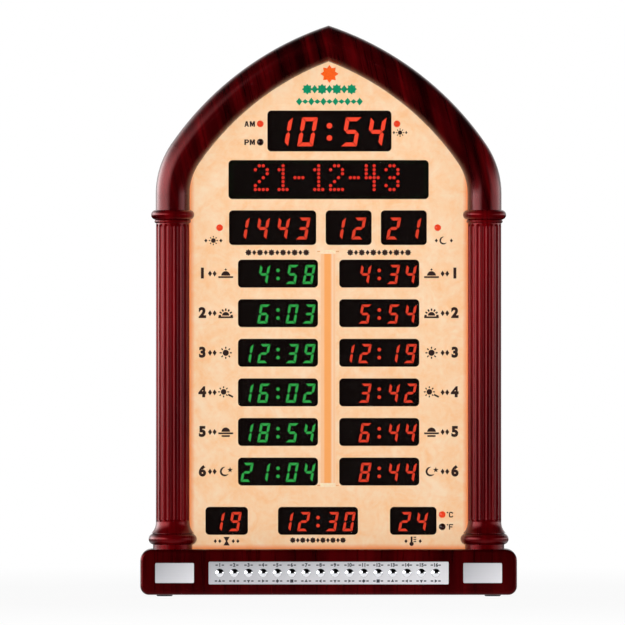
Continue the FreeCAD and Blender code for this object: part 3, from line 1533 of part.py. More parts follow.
def battery_door():
    body = new_body("battery_door")
    sketch = upright_sketch(body, back_y - size.door_thickness)
    draw_rectangle(sketch, size.door_x, door_mid, size.door_width, size.door_height)
    pad(body, sketch, size.door_thickness, to_front=False)
    # a dished thumb grip near the upper edge
    grip = upright_sketch(body, back_y)
    draw_rectangle(grip, size.door_x, size.door_z + size.door_height - size.wall * 2,
                   size.door_width / 2, size.wall, size.grip_corner)
    pocket(body, grip, size.door_thickness / 2, to_front=True)
    tabs = upright_sketch(body, back_y - size.door_thickness)
    for side in (-1, 1):
        middle = size.door_x + size.door_width / 4 * side
        low = size.door_z - size.hinge_reach
        high = size.door_z + size.door_ledge - size.clearance * 2
        half = size.hinge_tab / 2
        draw_path(tabs, [(middle - half, low), (middle + half, low), (middle + half, high),
                         (middle - half, high)])
    pad(body, tabs, (size.cover_thickness - size.door_thickness) / 2)
    return body


def coin_cell_parts():
    """Holder fixed behind the hatch, with the cell in its cup."""
    body = new_body("coin_cell_holder")
    sketch = upright_sketch(body, cover_y)
    draw_rectangle(sketch, size.door_x, door_mid, size.door_width + size.holder_lap * 2,
                   size.door_height)
    pad(body, sketch, size.holder_depth)
    cup = upright_sketch(body, cover_y)
    draw_circle(cup, size.door_x, door_mid, size.cell_radius + size.clearance)
    pocket(body, cup, size.cell_thickness + size.clearance, to_front=True)
    cell = rod("coin_cell", size.door_x, cover_y - size.cell_thickness - size.clearance, door_mid,
               size.cell_radius, size.cell_thickness)
    cell.Label = "coin_cell"
    return body, cell


def speaker_parts():
    """Loudspeaker facing the grille: pressed frame, paper cone and magnet."""
    at = (size.speaker_x, size.speaker_z)
    face = cover_y
    flange = face - size.speaker_flange
    floor = face - size.speaker_depth + size.magnet_height
    throat = size.magnet_radius
    sheet_metal = size.speaker_flange
    rim = size.cone_radius + sheet_metal
    frame = turned_part("speaker_frame", [
        (ZERO, floor), (throat, floor), (rim, flange), (size.speaker_radius, flange),
        (size.speaker_radius, face), (size.cone_radius, face), (size.cone_radius, flange),
        (throat - sheet_metal, floor + sheet_metal), (ZERO, floor + sheet_metal)], at=at)
    magnet = turned_part("speaker_magnet", [
        (ZERO, floor - size.magnet_height), (size.magnet_radius, floor - size.magnet_height),
        (size.magnet_radius, floor), (ZERO, floor)], at=at)
    thick = size.cone_sheet
    lip = size.cone_radius
    front = face - size.clearance
    deep = front - size.cone_depth
    cone = turned_part("speaker_cone", [
        (ZERO, deep), (size.cone_cap, deep), (lip - size.speaker_flange * 2, front - thick),
        (lip, front - thick), (lip, front), (lip - size.speaker_flange * 2, front),
        (size.cone_cap, deep + thick * 2), (ZERO, deep + thick * 4)], at=at)
    return frame, magnet, cone


def dc_jack():
    """Barrel inlet for a plug with a centre pin, flush with the rear cover."""
    body = block("inlet_block", inlet_x, cover_y - size.inlet_length, size.inlet_z,
                 size.inlet_body, size.inlet_length, size.inlet_body)
    barrel = rod("inlet_barrel", inlet_x, cover_y - size.wall, size.inlet_z,
                 size.inlet_radius, size.wall + size.cover_thickness)
    socket = rod("inlet_socket_bore", inlet_x, back_y - size.inlet_depth, size.inlet_z,
                 size.inlet_socket, size.inlet_depth)
    pin = rod("inlet_centre_pin", inlet_x, back_y - size.inlet_depth - size.wall / 2,
              size.inlet_z, size.inlet_pin, size.inlet_depth)
    shell = cut("inlet_shell", fuse("inlet_blank", body, barrel), socket)
    jack = fuse("dc_jack", shell, pin)
    jack.Label = "dc_jack"
    return jack


# ---------------------------------------------------------------- the whole clock

def build_parts():
    parts = [base_housing(), column("left_column", -1), column("right_column", 1), arch_frame(),
             face_panel(), window_filter(), back_cover(), battery_door(), dc_jack(), rubber_feet()]
    parts.append(base_plate("button_plate", ZERO, size.plate_width, size.plate_height,
                            button_places()))
    parts.append(base_plate("left_trim_plate", -trim_x, size.trim_width, size.trim_height))
    parts.append(base_plate("right_trim_plate", trim_x, size.trim_width, size.trim_height))
    parts += [button(f"button_{number:02d}", x) for number, x in enumerate(button_places(), start=1)]
    parts += [button_board(), tact_switches(), ribbon_cable()]

    rows_left = [(-size.row_x, z, size.row_width, size.row_height) for z in row_heights]
    rows_right = [(size.row_x, z, size.row_width, size.row_height) for z in row_heights]
    parts += [display_cases("time_display", [TIME_WINDOW]), matrix_display(),
              display_cases("date_displays", DATE_WINDOWS),
              display_cases("left_row_displays", rows_left),
              display_cases("right_row_displays", rows_right),
              display_cases("bottom_displays", FOOT_WINDOWS)]
    parts += segment_nodes() + matrix_dots()
    parts += [indicator_leds("indicator_leds_lit", LED_LIT),
              indicator_leds("indicator_leds_dark", LED_DARK)]

    parts += [board("lower_board", size.lower_board_half, lower_board_low, lower_board_top,
                    lower_board_screws()),
              board("upper_board", size.upper_board_half, upper_board_low, upper_board_top,
                    upper_board_screws()),
              board_chips(), board_capacitors()]
    parts += [heads_behind("board_screws", lower_board_screws() + upper_board_screws(),
                           board_back, size.board_thickness + size.screw_bite),
              heads_behind("panel_screws", panel_screw_places(), panel_back,
                           size.panel_thickness + size.screw_bite),
              heads_behind("cover_screws", cover_screw_places(), back_y - size.head_sink,
                           size.cover_thickness - size.head_sink + size.screw_bite),
              heads_behind("button_board_screws", key_board_places(),
                           key_board_front + size.board_thickness, size.board_thickness
                           + size.screw_bite),
              column_screws()]
    parts += list(coin_cell_parts()) + list(speaker_parts())
    parts.append(speaker_screws())
    return parts


def speaker_screws():
    """Screws through washers that clamp the loudspeaker's rim to the cover's bosses."""
    screws = []
    for number, (x, z) in enumerate(speaker_screw_places()):
        seat = cover_y - size.speaker_flange
        head = rod(f"speaker_head_{number}", x, seat - size.head_height, z, size.speaker_washer,
                   size.head_height)
        shank = rod(f"speaker_shank_{number}", x, seat - size.head_height, z, size.screw_radius,
                    size.head_height + size.wall - size.clearance)
        screws.append(fuse(f"speaker_screw_{number}", head, shank))
    return group("speaker_screws", screws)


def check_document():
    """Stop if any object of the document failed to build."""
    failed = [item.Label for item in doc.Objects
              if "Invalid" in item.State or "Error" in item.State]
    if failed:
        raise RuntimeError(f"failed objects: {failed}")


def export(parts):
    for item in parts:
        if item.Shape.isNull() or not item.Shape.isValid():
            raise RuntimeError(f"{item.Label} has no valid shape")
    os.makedirs("parts", exist_ok=True)
    for item in parts:
        item.Shape.exportStep(f"parts/{item.Label}.step")


all_parts = build_parts()
doc.recompute()
check_document()
export(all_parts)
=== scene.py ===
import math

import bmesh
import bpy
from mathutils import Matrix, Vector

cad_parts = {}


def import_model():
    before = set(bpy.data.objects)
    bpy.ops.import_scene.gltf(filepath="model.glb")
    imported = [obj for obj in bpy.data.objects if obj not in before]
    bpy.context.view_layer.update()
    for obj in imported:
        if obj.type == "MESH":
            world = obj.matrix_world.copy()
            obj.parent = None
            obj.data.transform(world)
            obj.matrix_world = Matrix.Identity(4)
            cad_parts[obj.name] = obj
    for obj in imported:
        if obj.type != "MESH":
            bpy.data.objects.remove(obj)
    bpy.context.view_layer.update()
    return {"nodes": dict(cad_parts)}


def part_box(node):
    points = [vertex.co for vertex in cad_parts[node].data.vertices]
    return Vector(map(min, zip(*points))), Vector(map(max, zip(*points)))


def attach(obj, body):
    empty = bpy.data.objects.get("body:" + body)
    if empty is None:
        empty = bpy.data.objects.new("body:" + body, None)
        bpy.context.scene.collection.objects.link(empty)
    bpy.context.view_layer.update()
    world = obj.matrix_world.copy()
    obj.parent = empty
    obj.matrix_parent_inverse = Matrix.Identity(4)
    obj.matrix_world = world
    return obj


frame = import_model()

# An azan clock: lacquered mahogany case, printed face with LED displays, silver strip with chromed
# buttons.  Metres.  +X to the clock's right as seen from the front, which faces -Y; +Z is up.

nodes = frame["nodes"]
MM = 0.001

# the photograph: a square frame, in pixels
PHOTO_SIDE = 625
PLINTH_WIDTH_PX = 376.4
CLOCK_CENTRE_PX = (328.62, 310.65)

# ---------------------------------------------------------------- colours


def srgb(red, green, blue):
    """A colour written as it looks on a screen, 0 to 255, as the linear colour that shaders take."""
    def linear(byte):
        value = byte / 255
        return value / 12.92 if value <= 0.04045 else ((value + 0.055) / 1.055) ** 2.4
    return linear(red), linear(green), linear(blue), 1.0


def scaled(colour, factor):
    """A colour made darker or lighter."""
    return tuple(min(channel * factor, 1.0) for channel in colour[:3]) + (1.0,)


def middle(box):
    """The middle of a box given as its lowest and highest corner."""
    return (box[0] + box[1]) / 2


WHITE = (1.0, 1.0, 1.0, 1.0)
INK = srgb(40, 22, 18)
STRIP_INK = srgb(58, 60, 66)
ORNAMENT_ORANGE = srgb(250, 92, 20)
ORNAMENT_GREEN = srgb(0, 134, 92)
DISPLAY_BLACK = srgb(14, 13, 13)

# ---------------------------------------------------------------- node trees


class Nodes:
    """A node tree being built."""

    def __init__(self, tree):
        self.tree = tree

    def add(self, kind, inputs=None, **settings):
        """A node of this kind.  Each input takes a number, a colour or another node's output."""
        node = self.tree.nodes.new(kind)
        for setting, value in settings.items():
            setattr(node, setting, value)
        for name, value in (inputs or {}).items():
            if isinstance(value, bpy.types.NodeSocket):
                self.tree.links.new(value, node.inputs[name])
            else:
                node.inputs[name].default_value = value
        return node

    def maths(self, operation, *inputs):
        """Two or three numbers worked into one."""
        return self.add("ShaderNodeMath", dict(enumerate(inputs)), operation=operation).outputs[0]

    def mix(self, factor, first, second):
        """Two numbers mixed."""
        return self.add("ShaderNodeMix", {0: factor, 2: first, 3: second}).outputs[0]

    def level(self, value, start, end, low=0.0, high=1.0, **settings):
        """A number that goes from low to high while the value goes from start to end."""
        return self.add("ShaderNodeMapRange", {
            "Value": value, "From Min": start, "From Max": end, "To Min": low, "To Max": high},
            **settings).outputs["Result"]

    def axes(self, place):
        """A place or direction as three numbers."""
        return self.add("ShaderNodeSeparateXYZ", {"Vector": place}).outputs


class Surface(Nodes):
    """A material being made: one Principled shader and the texture nodes that feed it."""

    def __init__(self, name, **settings):
        self.material = bpy.data.materials.new(name)
        self.material.use_nodes = True
        super().__init__(self.material.node_tree)
        self.shader = self.tree.nodes["Principled BSDF"]
        self.place = self.add("ShaderNodeTexCoord").outputs["Object"]
        for setting, value in settings.items():
            self.shader.inputs[setting.replace("_", " ")].default_value = value

    def noise(self, scale, detail=2.0, roughness=0.5, distortion=0.0, place=None):
        """Noise with so many waves to the metre along each axis."""
        stretched = self.add("ShaderNodeMapping", {"Vector": place or self.place, "Scale": scale})
        return self.add("ShaderNodeTexNoise", {
            "Vector": stretched.outputs["Vector"], "Scale": 1.0, "Detail": detail,
            "Roughness": roughness, "Distortion": distortion}).outputs["Fac"]

    def wander(self, place, scale, reach):
        """The place, pushed about by slow noise, so that a pattern doesn't run dead straight."""
        stretched = self.add("ShaderNodeMapping", {"Vector": place, "Scale": scale})
        noise = self.add("ShaderNodeTexNoise", {"Vector": stretched.outputs["Vector"], "Scale": 1.0})
        centred = self.add("ShaderNodeVectorMath", {0: noise.outputs["Color"], 1: (0.5, 0.5, 0.5)},
                           operation="SUBTRACT")
        push = self.add("ShaderNodeVectorMath", {0: centred.outputs[0], "Scale": reach},
                        operation="SCALE")
        return self.add("ShaderNodeVectorMath", {0: place, 1: push.outputs[0]},
                        operation="ADD").outputs[0]

    def along(self, axis, low, high):
        """0 at low and 1 at high along an axis, in metres."""
        return self.level(self.axes(self.place)[axis], low, high)

    def ramp(self, factor, *stops):
        """A colour that follows a number, through stops given as position and colour."""
        node = self.add("ShaderNodeValToRGB", {"Fac": factor})
        elements = node.color_ramp.elements
        while len(elements) < len(stops):
            elements.new(0.5)
        for element, (position, colour) in zip(elements, stops):
            element.position = position
            element.color = colour
        return node.outputs["Color"]

    def blend(self, factor, first, second):
        """Two colours mixed."""
        return self.add("ShaderNodeMix", {0: factor, 6: first, 7: second}, data_type="RGBA").outputs[2]

    def colour(self, output):
        self.tree.links.new(output, self.shader.inputs["Base Color"])

    def roughness(self, factor, low, high):
        self.tree.links.new(self.level(factor, 0, 1, low, high), self.shader.inputs["Roughness"])

    def bump(self, height, depth):
        """Relief of so many metres."""
        node = self.add("ShaderNodeBump", {"Height": height, "Distance": depth, "Strength": 1.0})
        self.tree.links.new(node.outputs["Normal"], self.shader.inputs["Normal"])


# ---------------------------------------------------------------- materials

GRAIN_DEPTH = 0.2  # how fast the grain changes in depth, against across
GROUPS_ALONG, LINES_ALONG = 5, 12  # waves to the metre along the grain
WOOD_STOPS = 0.37, 0.49, 0.61  # where the figure shows its dark, middle and light tone
TOP_SHADE_DEPTH = 0.07  # how far the figure goes towards the dark tone in the painted shade toward the top
LINE_RELIEF = 0.004 * MM  # depth of brushed and drawn lines in metal


def mahogany(name, tones, groups, lines, coat, lean=0.0, share=0.4, top_shade_span=None):
    """Dark red wood under a clear gloss lacquer.  The tones run from dark to light.  The grain
    stands upright or leans by so many degrees: broad groups of streaks, and finer lines in them,
    both given as waves to the metre across.  Painted shade may darken it upward between two heights."""
    surface = Surface(name, IOR=1.4, Specular_IOR_Level=0.5, Specular_Tint=srgb(255, 50, 60),
                      Coat_Weight=coat, Coat_Roughness=0.12, Coat_IOR=1.35)
    turned = surface.add("ShaderNodeMapping", {
        "Vector": surface.place, "Rotation": (0, math.radians(lean), 0)}).outputs["Vector"]
    grain = surface.wander(turned, scale=(14, 4, 7), reach=6 * MM)
    broad = surface.noise((groups, groups * GRAIN_DEPTH, GROUPS_ALONG), detail=1.5, place=grain)
    streaks = surface.noise((lines, lines * GRAIN_DEPTH, LINES_ALONG), detail=5, roughness=0.62,
                            place=grain)
    figure = surface.mix(share, broad, streaks)
    # painted shade: the figure goes darker upward between the two heights, toward the top of the arch
    if top_shade_span:
        figure = surface.maths("MULTIPLY_ADD", surface.along("Z", *top_shade_span), -TOP_SHADE_DEPTH, figure)
    surface.colour(surface.ramp(figure, *zip(WOOD_STOPS, tones)))
    surface.roughness(streaks, low=0.24, high=0.32)
    surface.bump(streaks, depth=0.02 * MM)
    return surface.material


def plastic(name, colour, roughness, grain_scale=1400.0, relief=0.02 * MM):
    """Moulded plastic with a fine spark-eroded grain and a slight unevenness of tone."""
    unevenness, roughness_spread = 0.08, 0.06
    surface = Surface(name)
    grain = surface.noise((grain_scale,) * 3, detail=2)
    tone = surface.noise((30, 30, 30), detail=3)
    surface.colour(surface.ramp(tone, (0.3, scaled(colour, 1 - unevenness)), (0.7, colour)))
    surface.roughness(grain, roughness - roughness_spread, roughness + roughness_spread)
    surface.bump(grain, depth=relief)
    return surface.material


def metal(name, colour, roughness):
    """Metal with fine lines drawn along Y."""
    unevenness = 0.18
    surface = Surface(name, Metallic=1.0)
    lines = surface.noise((900, 40, 900), detail=4)
    surface.colour(surface.ramp(lines, (0.3, scaled(colour, 1 - unevenness)), (0.7, colour)))
    surface.roughness(lines, roughness * 0.8, roughness * 1.25)
    surface.bump(lines, depth=LINE_RELIEF)
    return surface.material


def face_print(rim_x, rim_z):
    """Satin print in a pale peach, clouded like handmade paper, with painted shade and a painted
    reflection of the red wood: darker and warmer in a narrow rim beside the columns and above the
    plinth."""
    surface = Surface("face_print", Specular_IOR_Level=0.35)
    clouds = surface.noise((70, 70, 70), detail=4, roughness=0.62, distortion=0.8)
    flecks = surface.noise((230, 230, 230), detail=2)
    figure = surface.mix(0.25, clouds, flecks)
    paper = surface.ramp(figure, (0.34, srgb(253, 198, 146)), (0.50, srgb(254, 210, 166)),
                         (0.66, srgb(255, 222, 186)))
    # painted shade and painted reflection of the red wood: the paper goes darker and more orange
    # within a narrow rim beside the columns and above the plinth
    shaded_rim_colour, rim = srgb(248, 140, 78), 4.0 * MM
    across, _, up = surface.axes(surface.place)
    beside = surface.level(surface.maths("ABSOLUTE", across), rim_x - rim, rim_x)
    above = surface.level(up, rim_z + rim, rim_z)
    rim_shade = surface.maths("MAXIMUM", beside, above)
    surface.colour(surface.blend(rim_shade, paper, shaded_rim_colour))
    surface.roughness(flecks, low=0.46, high=0.60)
    surface.bump(flecks, depth=0.01 * MM)
    return surface.material


def pillar_print(low, high):
    """The printed pillar: an orange core that fades into pale sides."""
    surface = Surface("pillar_print", Specular_IOR_Level=0.35, Roughness=0.5)
    core = srgb(253, 170, 97)
    left_side = (0.0, srgb(253, 206, 164)), (0.10, srgb(252, 193, 144)), (0.19, srgb(253, 200, 152))
    right_side = (0.78, srgb(253, 214, 178)), (0.90, srgb(252, 196, 148)), (1.0, srgb(253, 208, 166))
    surface.colour(surface.ramp(surface.along("X", low, high), *left_side, (0.30, core),
                                (0.66, core), *right_side))
    return surface.material


def ink(name, colour):
    """Screen-printed ink, slightly uneven."""
    surface = Surface(name, Specular_IOR_Level=0.3)
    patches = surface.noise((900, 900, 900), detail=2)
    surface.colour(surface.ramp(patches, (0.35, colour), (0.75, scaled(colour, 1.25))))
    surface.roughness(patches, low=0.45, high=0.58)
    return surface.material


def lamp(name, colour, strength, body, lower=None):
    """A lit LED face: its own light over a tinted epoxy.  The displays under the time may be set
    dimmer, which is the lower strength."""
    surface = Surface(name, Base_Color=body, Roughness=0.35, Emission_Color=colour,
                      Emission_Strength=strength)
    if lower:
        under, over = (middle(box).z for box in (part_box("date_displays"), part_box("time_display")))
        height = surface.axes(surface.place)["Z"]
        surface.tree.links.new(surface.level(height, under, over, lower, strength),
                               surface.shader.inputs["Emission Strength"])
    return surface.material


def smoked_acrylic():
    """The dark filter, which lets the lit segments through."""
    return Surface("smoked_acrylic", Base_Color=srgb(20, 13, 11), Roughness=0.12,
                   Alpha=SMOKE).material


def satin_silver(low, high):
    """Silver foil, brushed sideways, with a painted sheen that makes it brighter towards its right end
    and its lower edge.
    """
    surface = Surface("satin_silver", Metallic=0.15, Specular_IOR_Level=0.5)
    lines = surface.noise((25, 25, 3200), detail=3)
    # painted sheen: the colour brightens towards the right end and the lower edge
    tone = surface.mix(0.35, surface.along("X", low.x, high.x), surface.along("Z", high.z, low.z))
    figure = surface.mix(0.12, tone, lines)
    surface.colour(surface.ramp(figure, (0.08, srgb(184, 185, 190)), (0.9, srgb(238, 238, 242))))
    surface.roughness(lines, low=0.34, high=0.46)
    surface.bump(lines, depth=LINE_RELIEF)
    return surface.material


def chrome():
    """Bright plating."""
    return Surface("chrome", Metallic=1.0, Roughness=0.08, Base_Color=srgb(232, 232, 236)).material


def circuit_board():
    """Green solder mask over copper tracks."""
    surface = Surface("circuit_board", Coat_Weight=0.4, Coat_Roughness=0.2)
    tracks = surface.add("ShaderNodeTexVoronoi", {"Vector": surface.place, "Scale": 260.0},
                         distance="CHEBYCHEV", feature="DISTANCE_TO_EDGE")
    surface.colour(surface.ramp(tracks.outputs["Distance"], (0.04, srgb(20, 84, 46)),
                                (0.09, srgb(8, 42, 24))))
    surface.roughness(tracks.outputs["Distance"], low=0.35, high=0.5)
    surface.bump(tracks.outputs["Distance"], depth=0.02 * MM)
    return surface.material


def pressed_paper():
    """The loudspeaker's paper cone."""
    surface = Surface("cone_paper")
    fibres = surface.noise((500, 500, 500), detail=6, roughness=0.7)
    surface.colour(surface.ramp(fibres, (0.3, srgb(26, 25, 27)), (0.7, srgb(58, 55, 56))))
    surface.roughness(fibres, low=0.8, high=0.95)
    surface.bump(fibres, depth=0.1 * MM)
    return surface.material


def dress(material, *names):
    """Give CAD nodes their material."""
    for name in names:
        nodes[name].data.materials.clear()
        nodes[name].data.materials.append(material)


# ---------------------------------------------------------------- finishes of the CAD nodes

SMOKE = 0.5  # share of the light that each face of the filter keeps back
THROUGH_FILTER = 1 / (1 - SMOKE) ** 2
RED_GLOW, DOT_GLOW, GREEN_GLOW = srgb(255, 76, 50), srgb(252, 60, 46), srgb(50, 168, 76)
RED_EPOXY, GREEN_EPOXY, LED_EPOXY = srgb(120, 16, 10), srgb(10, 70, 30), srgb(120, 14, 4)

panel_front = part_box("face_panel")[0].y
strip_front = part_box("button_plate")[0].y
column_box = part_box("right_column")
plinth_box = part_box("base_housing")
arch_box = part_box("arch_frame")
# the column's shaft is this wide, and stands in the middle of its foot and rings
SHAFT_WIDTH = 24.9 * MM
shaft_inside = (column_box[0].x + column_box[1].x - SHAFT_WIDTH) / 2
button_names = sorted(name for name in nodes if name.startswith("button_") and name[-1].isdigit())

dress(mahogany("arch_mahogany", (srgb(22, 0, 1), srgb(56, 1, 3), srgb(92, 3, 7)),
               groups=85, lines=320, coat=0.3, lean=14, share=0.35,
               top_shade_span=(arch_box[0].z, arch_box[1].z)), "arch_frame")
dress(mahogany("column_mahogany", (srgb(54, 0, 3), srgb(76, 1, 4), srgb(100, 2, 7)),
               groups=60, lines=300, coat=0.17), "left_column", "right_column")
dress(mahogany("plinth_mahogany", (srgb(26, 0, 1), srgb(43, 0, 1), srgb(64, 1, 3)),
               groups=55, lines=280, coat=0.06), "base_housing")
dress(face_print(shaft_inside, plinth_box[1].z), "face_panel")
dress(smoked_acrylic(), "window_filter")
dress(plastic("display_black", DISPLAY_BLACK, 0.7), "time_display", "matrix_display",
      "date_displays", "left_row_displays", "right_row_displays", "bottom_displays")
dress(lamp("light_red", RED_GLOW, strength=0.92 * THROUGH_FILTER, body=RED_EPOXY,
           lower=0.68 * THROUGH_FILTER), "red_segments")
dress(lamp("light_red_dots", DOT_GLOW, strength=0.7 * THROUGH_FILTER, body=RED_EPOXY),
      "matrix_dots_lit")
dress(lamp("light_green", GREEN_GLOW, strength=0.88 * THROUGH_FILTER, body=GREEN_EPOXY),
      "green_segments")
dress(plastic("light_off", scaled(DISPLAY_BLACK, 1.3), 0.6), "dark_segments")
dress(plastic("dots_off", DISPLAY_BLACK, 0.7), "matrix_dots_dark")
dress(lamp("led_red", srgb(228, 66, 26), strength=0.8, body=LED_EPOXY), "indicator_leds_lit")
dress(plastic("led_dark", srgb(36, 8, 8), 0.2), "indicator_leds_dark")
dress(circuit_board(), "upper_board", "lower_board", "button_board")
dress(plastic("chip_black", srgb(34, 34, 36), 0.55), "board_chips", "board_capacitors",
      "tact_switches")
dress(plastic("jack_black", srgb(24, 24, 26), 0.45), "dc_jack", "coin_cell_holder")
dress(plastic("ribbon_grey", srgb(150, 150, 154), 0.5), "ribbon_cable")
dress(metal("screw_steel", srgb(196, 194, 188), 0.32), "board_screws", "panel_screws",
      "cover_screws", "button_board_screws", "column_screws", "speaker_screws", "coin_cell",
      "speaker_frame")
dress(plastic("magnet_iron", srgb(64, 64, 68), 0.6), "speaker_magnet")
dress(pressed_paper(), "speaker_cone")
dress(plastic("foot_rubber", srgb(30, 30, 31), 0.8, grain_scale=700, relief=0.06 * MM),
      "rubber_feet")
dress(plastic("back_plastic", srgb(52, 22, 20), 0.5, grain_scale=900, relief=0.05 * MM),
      "back_cover", "battery_door")
for plate in ("button_plate", "left_trim_plate", "right_trim_plate"):
    dress(satin_silver(*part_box(plate)), plate)
dress(chrome(), *button_names)

# ---------------------------------------------------------------- printed marks

INK_DEPTH = 0.06 * MM  # how far the ink stands out
INK_BEDDED = 0.02 * MM  # how far it goes into what it is printed on
ROUND = 360.0  # degrees
WELD = 0.001 * MM  # corners of a solid that are this close are one
FONT_CAP = 0.69  # height of a capital in the built-in font, of its size

# outlines of the capitals that the face needs, in a box one wide and one high
LEFT_OF_A = [(0, 0), (0.32, 1), (0.5, 1), (0.5, 0.66), (0.43, 0.42), (0.5, 0.42), (0.5, 0.2),
             (0.37, 0.2), (0.32, 0)]
CAPITALS = {
    "A": [LEFT_OF_A, [(1 - across, up) for across, up in LEFT_OF_A]],
    "P": [[(0, 0), (0, 1), (0.34, 1), (0.34, 0)],
          [(0.34, 1), (0.7, 1), (1, 0.84), (1, 0.52), (0.7, 0.34), (0.34, 0.34),
           (0.34, 0.56), (0.6, 0.56), (0.66, 0.62), (0.66, 0.74), (0.6, 0.8), (0.34, 0.8)]],
    "M": [[(0, 0), (0, 1), (0.32, 1), (0.5, 0.56), (0.68, 1), (1, 1), (1, 0), (0.72, 0),
           (0.72, 0.5), (0.6, 0.1), (0.4, 0.1), (0.28, 0.5), (0.28, 0)]],
    "C": [[(1, 0.68), (1, 0.82), (0.78, 1), (0.22, 1), (0, 0.82), (0, 0.18), (0.22, 0), (0.78, 0),
           (1, 0.18), (1, 0.32), (0.72, 0.32), (0.72, 0.26), (0.64, 0.2), (0.36, 0.2),
           (0.28, 0.26), (0.28, 0.74), (0.36, 0.8), (0.64, 0.8), (0.72, 0.74), (0.72, 0.68)]],
    "F": [[(0, 0), (0, 1), (1, 1), (1, 0.8), (0.28, 0.8), (0.28, 0.6), (0.84, 0.6), (0.84, 0.4),
           (0.28, 0.4), (0.28, 0)]]}


def solids(name):
    """The box of each separate solid of a node: its lowest and highest corner."""
    mesh = bmesh.new()
    mesh.from_mesh(nodes[name].data)
    bmesh.ops.remove_doubles(mesh, verts=mesh.verts, dist=WELD)
    left = set(mesh.verts)
    boxes = []
    while left:
        reached = [left.pop()]
        for vertex in reached:
            beside = {edge.other_vert(vertex) for edge in vertex.link_edges} & left
            reached.extend(beside)
            left -= beside
        points = [vertex.co for vertex in reached]
        boxes.append((Vector(min(p[axis] for p in points) for axis in range(3)),
                      Vector(max(p[axis] for p in points) for axis in range(3))))
    mesh.free()
    return boxes


def places(name):
    """The middle of each separate solid of a node, in millimetres: from the top down, and from left
    to right where they stand level."""
    middles = [middle(box) / MM for box in solids(name)]
    return sorted(middles, key=lambda place: (-round(place.z, 1), place.x))


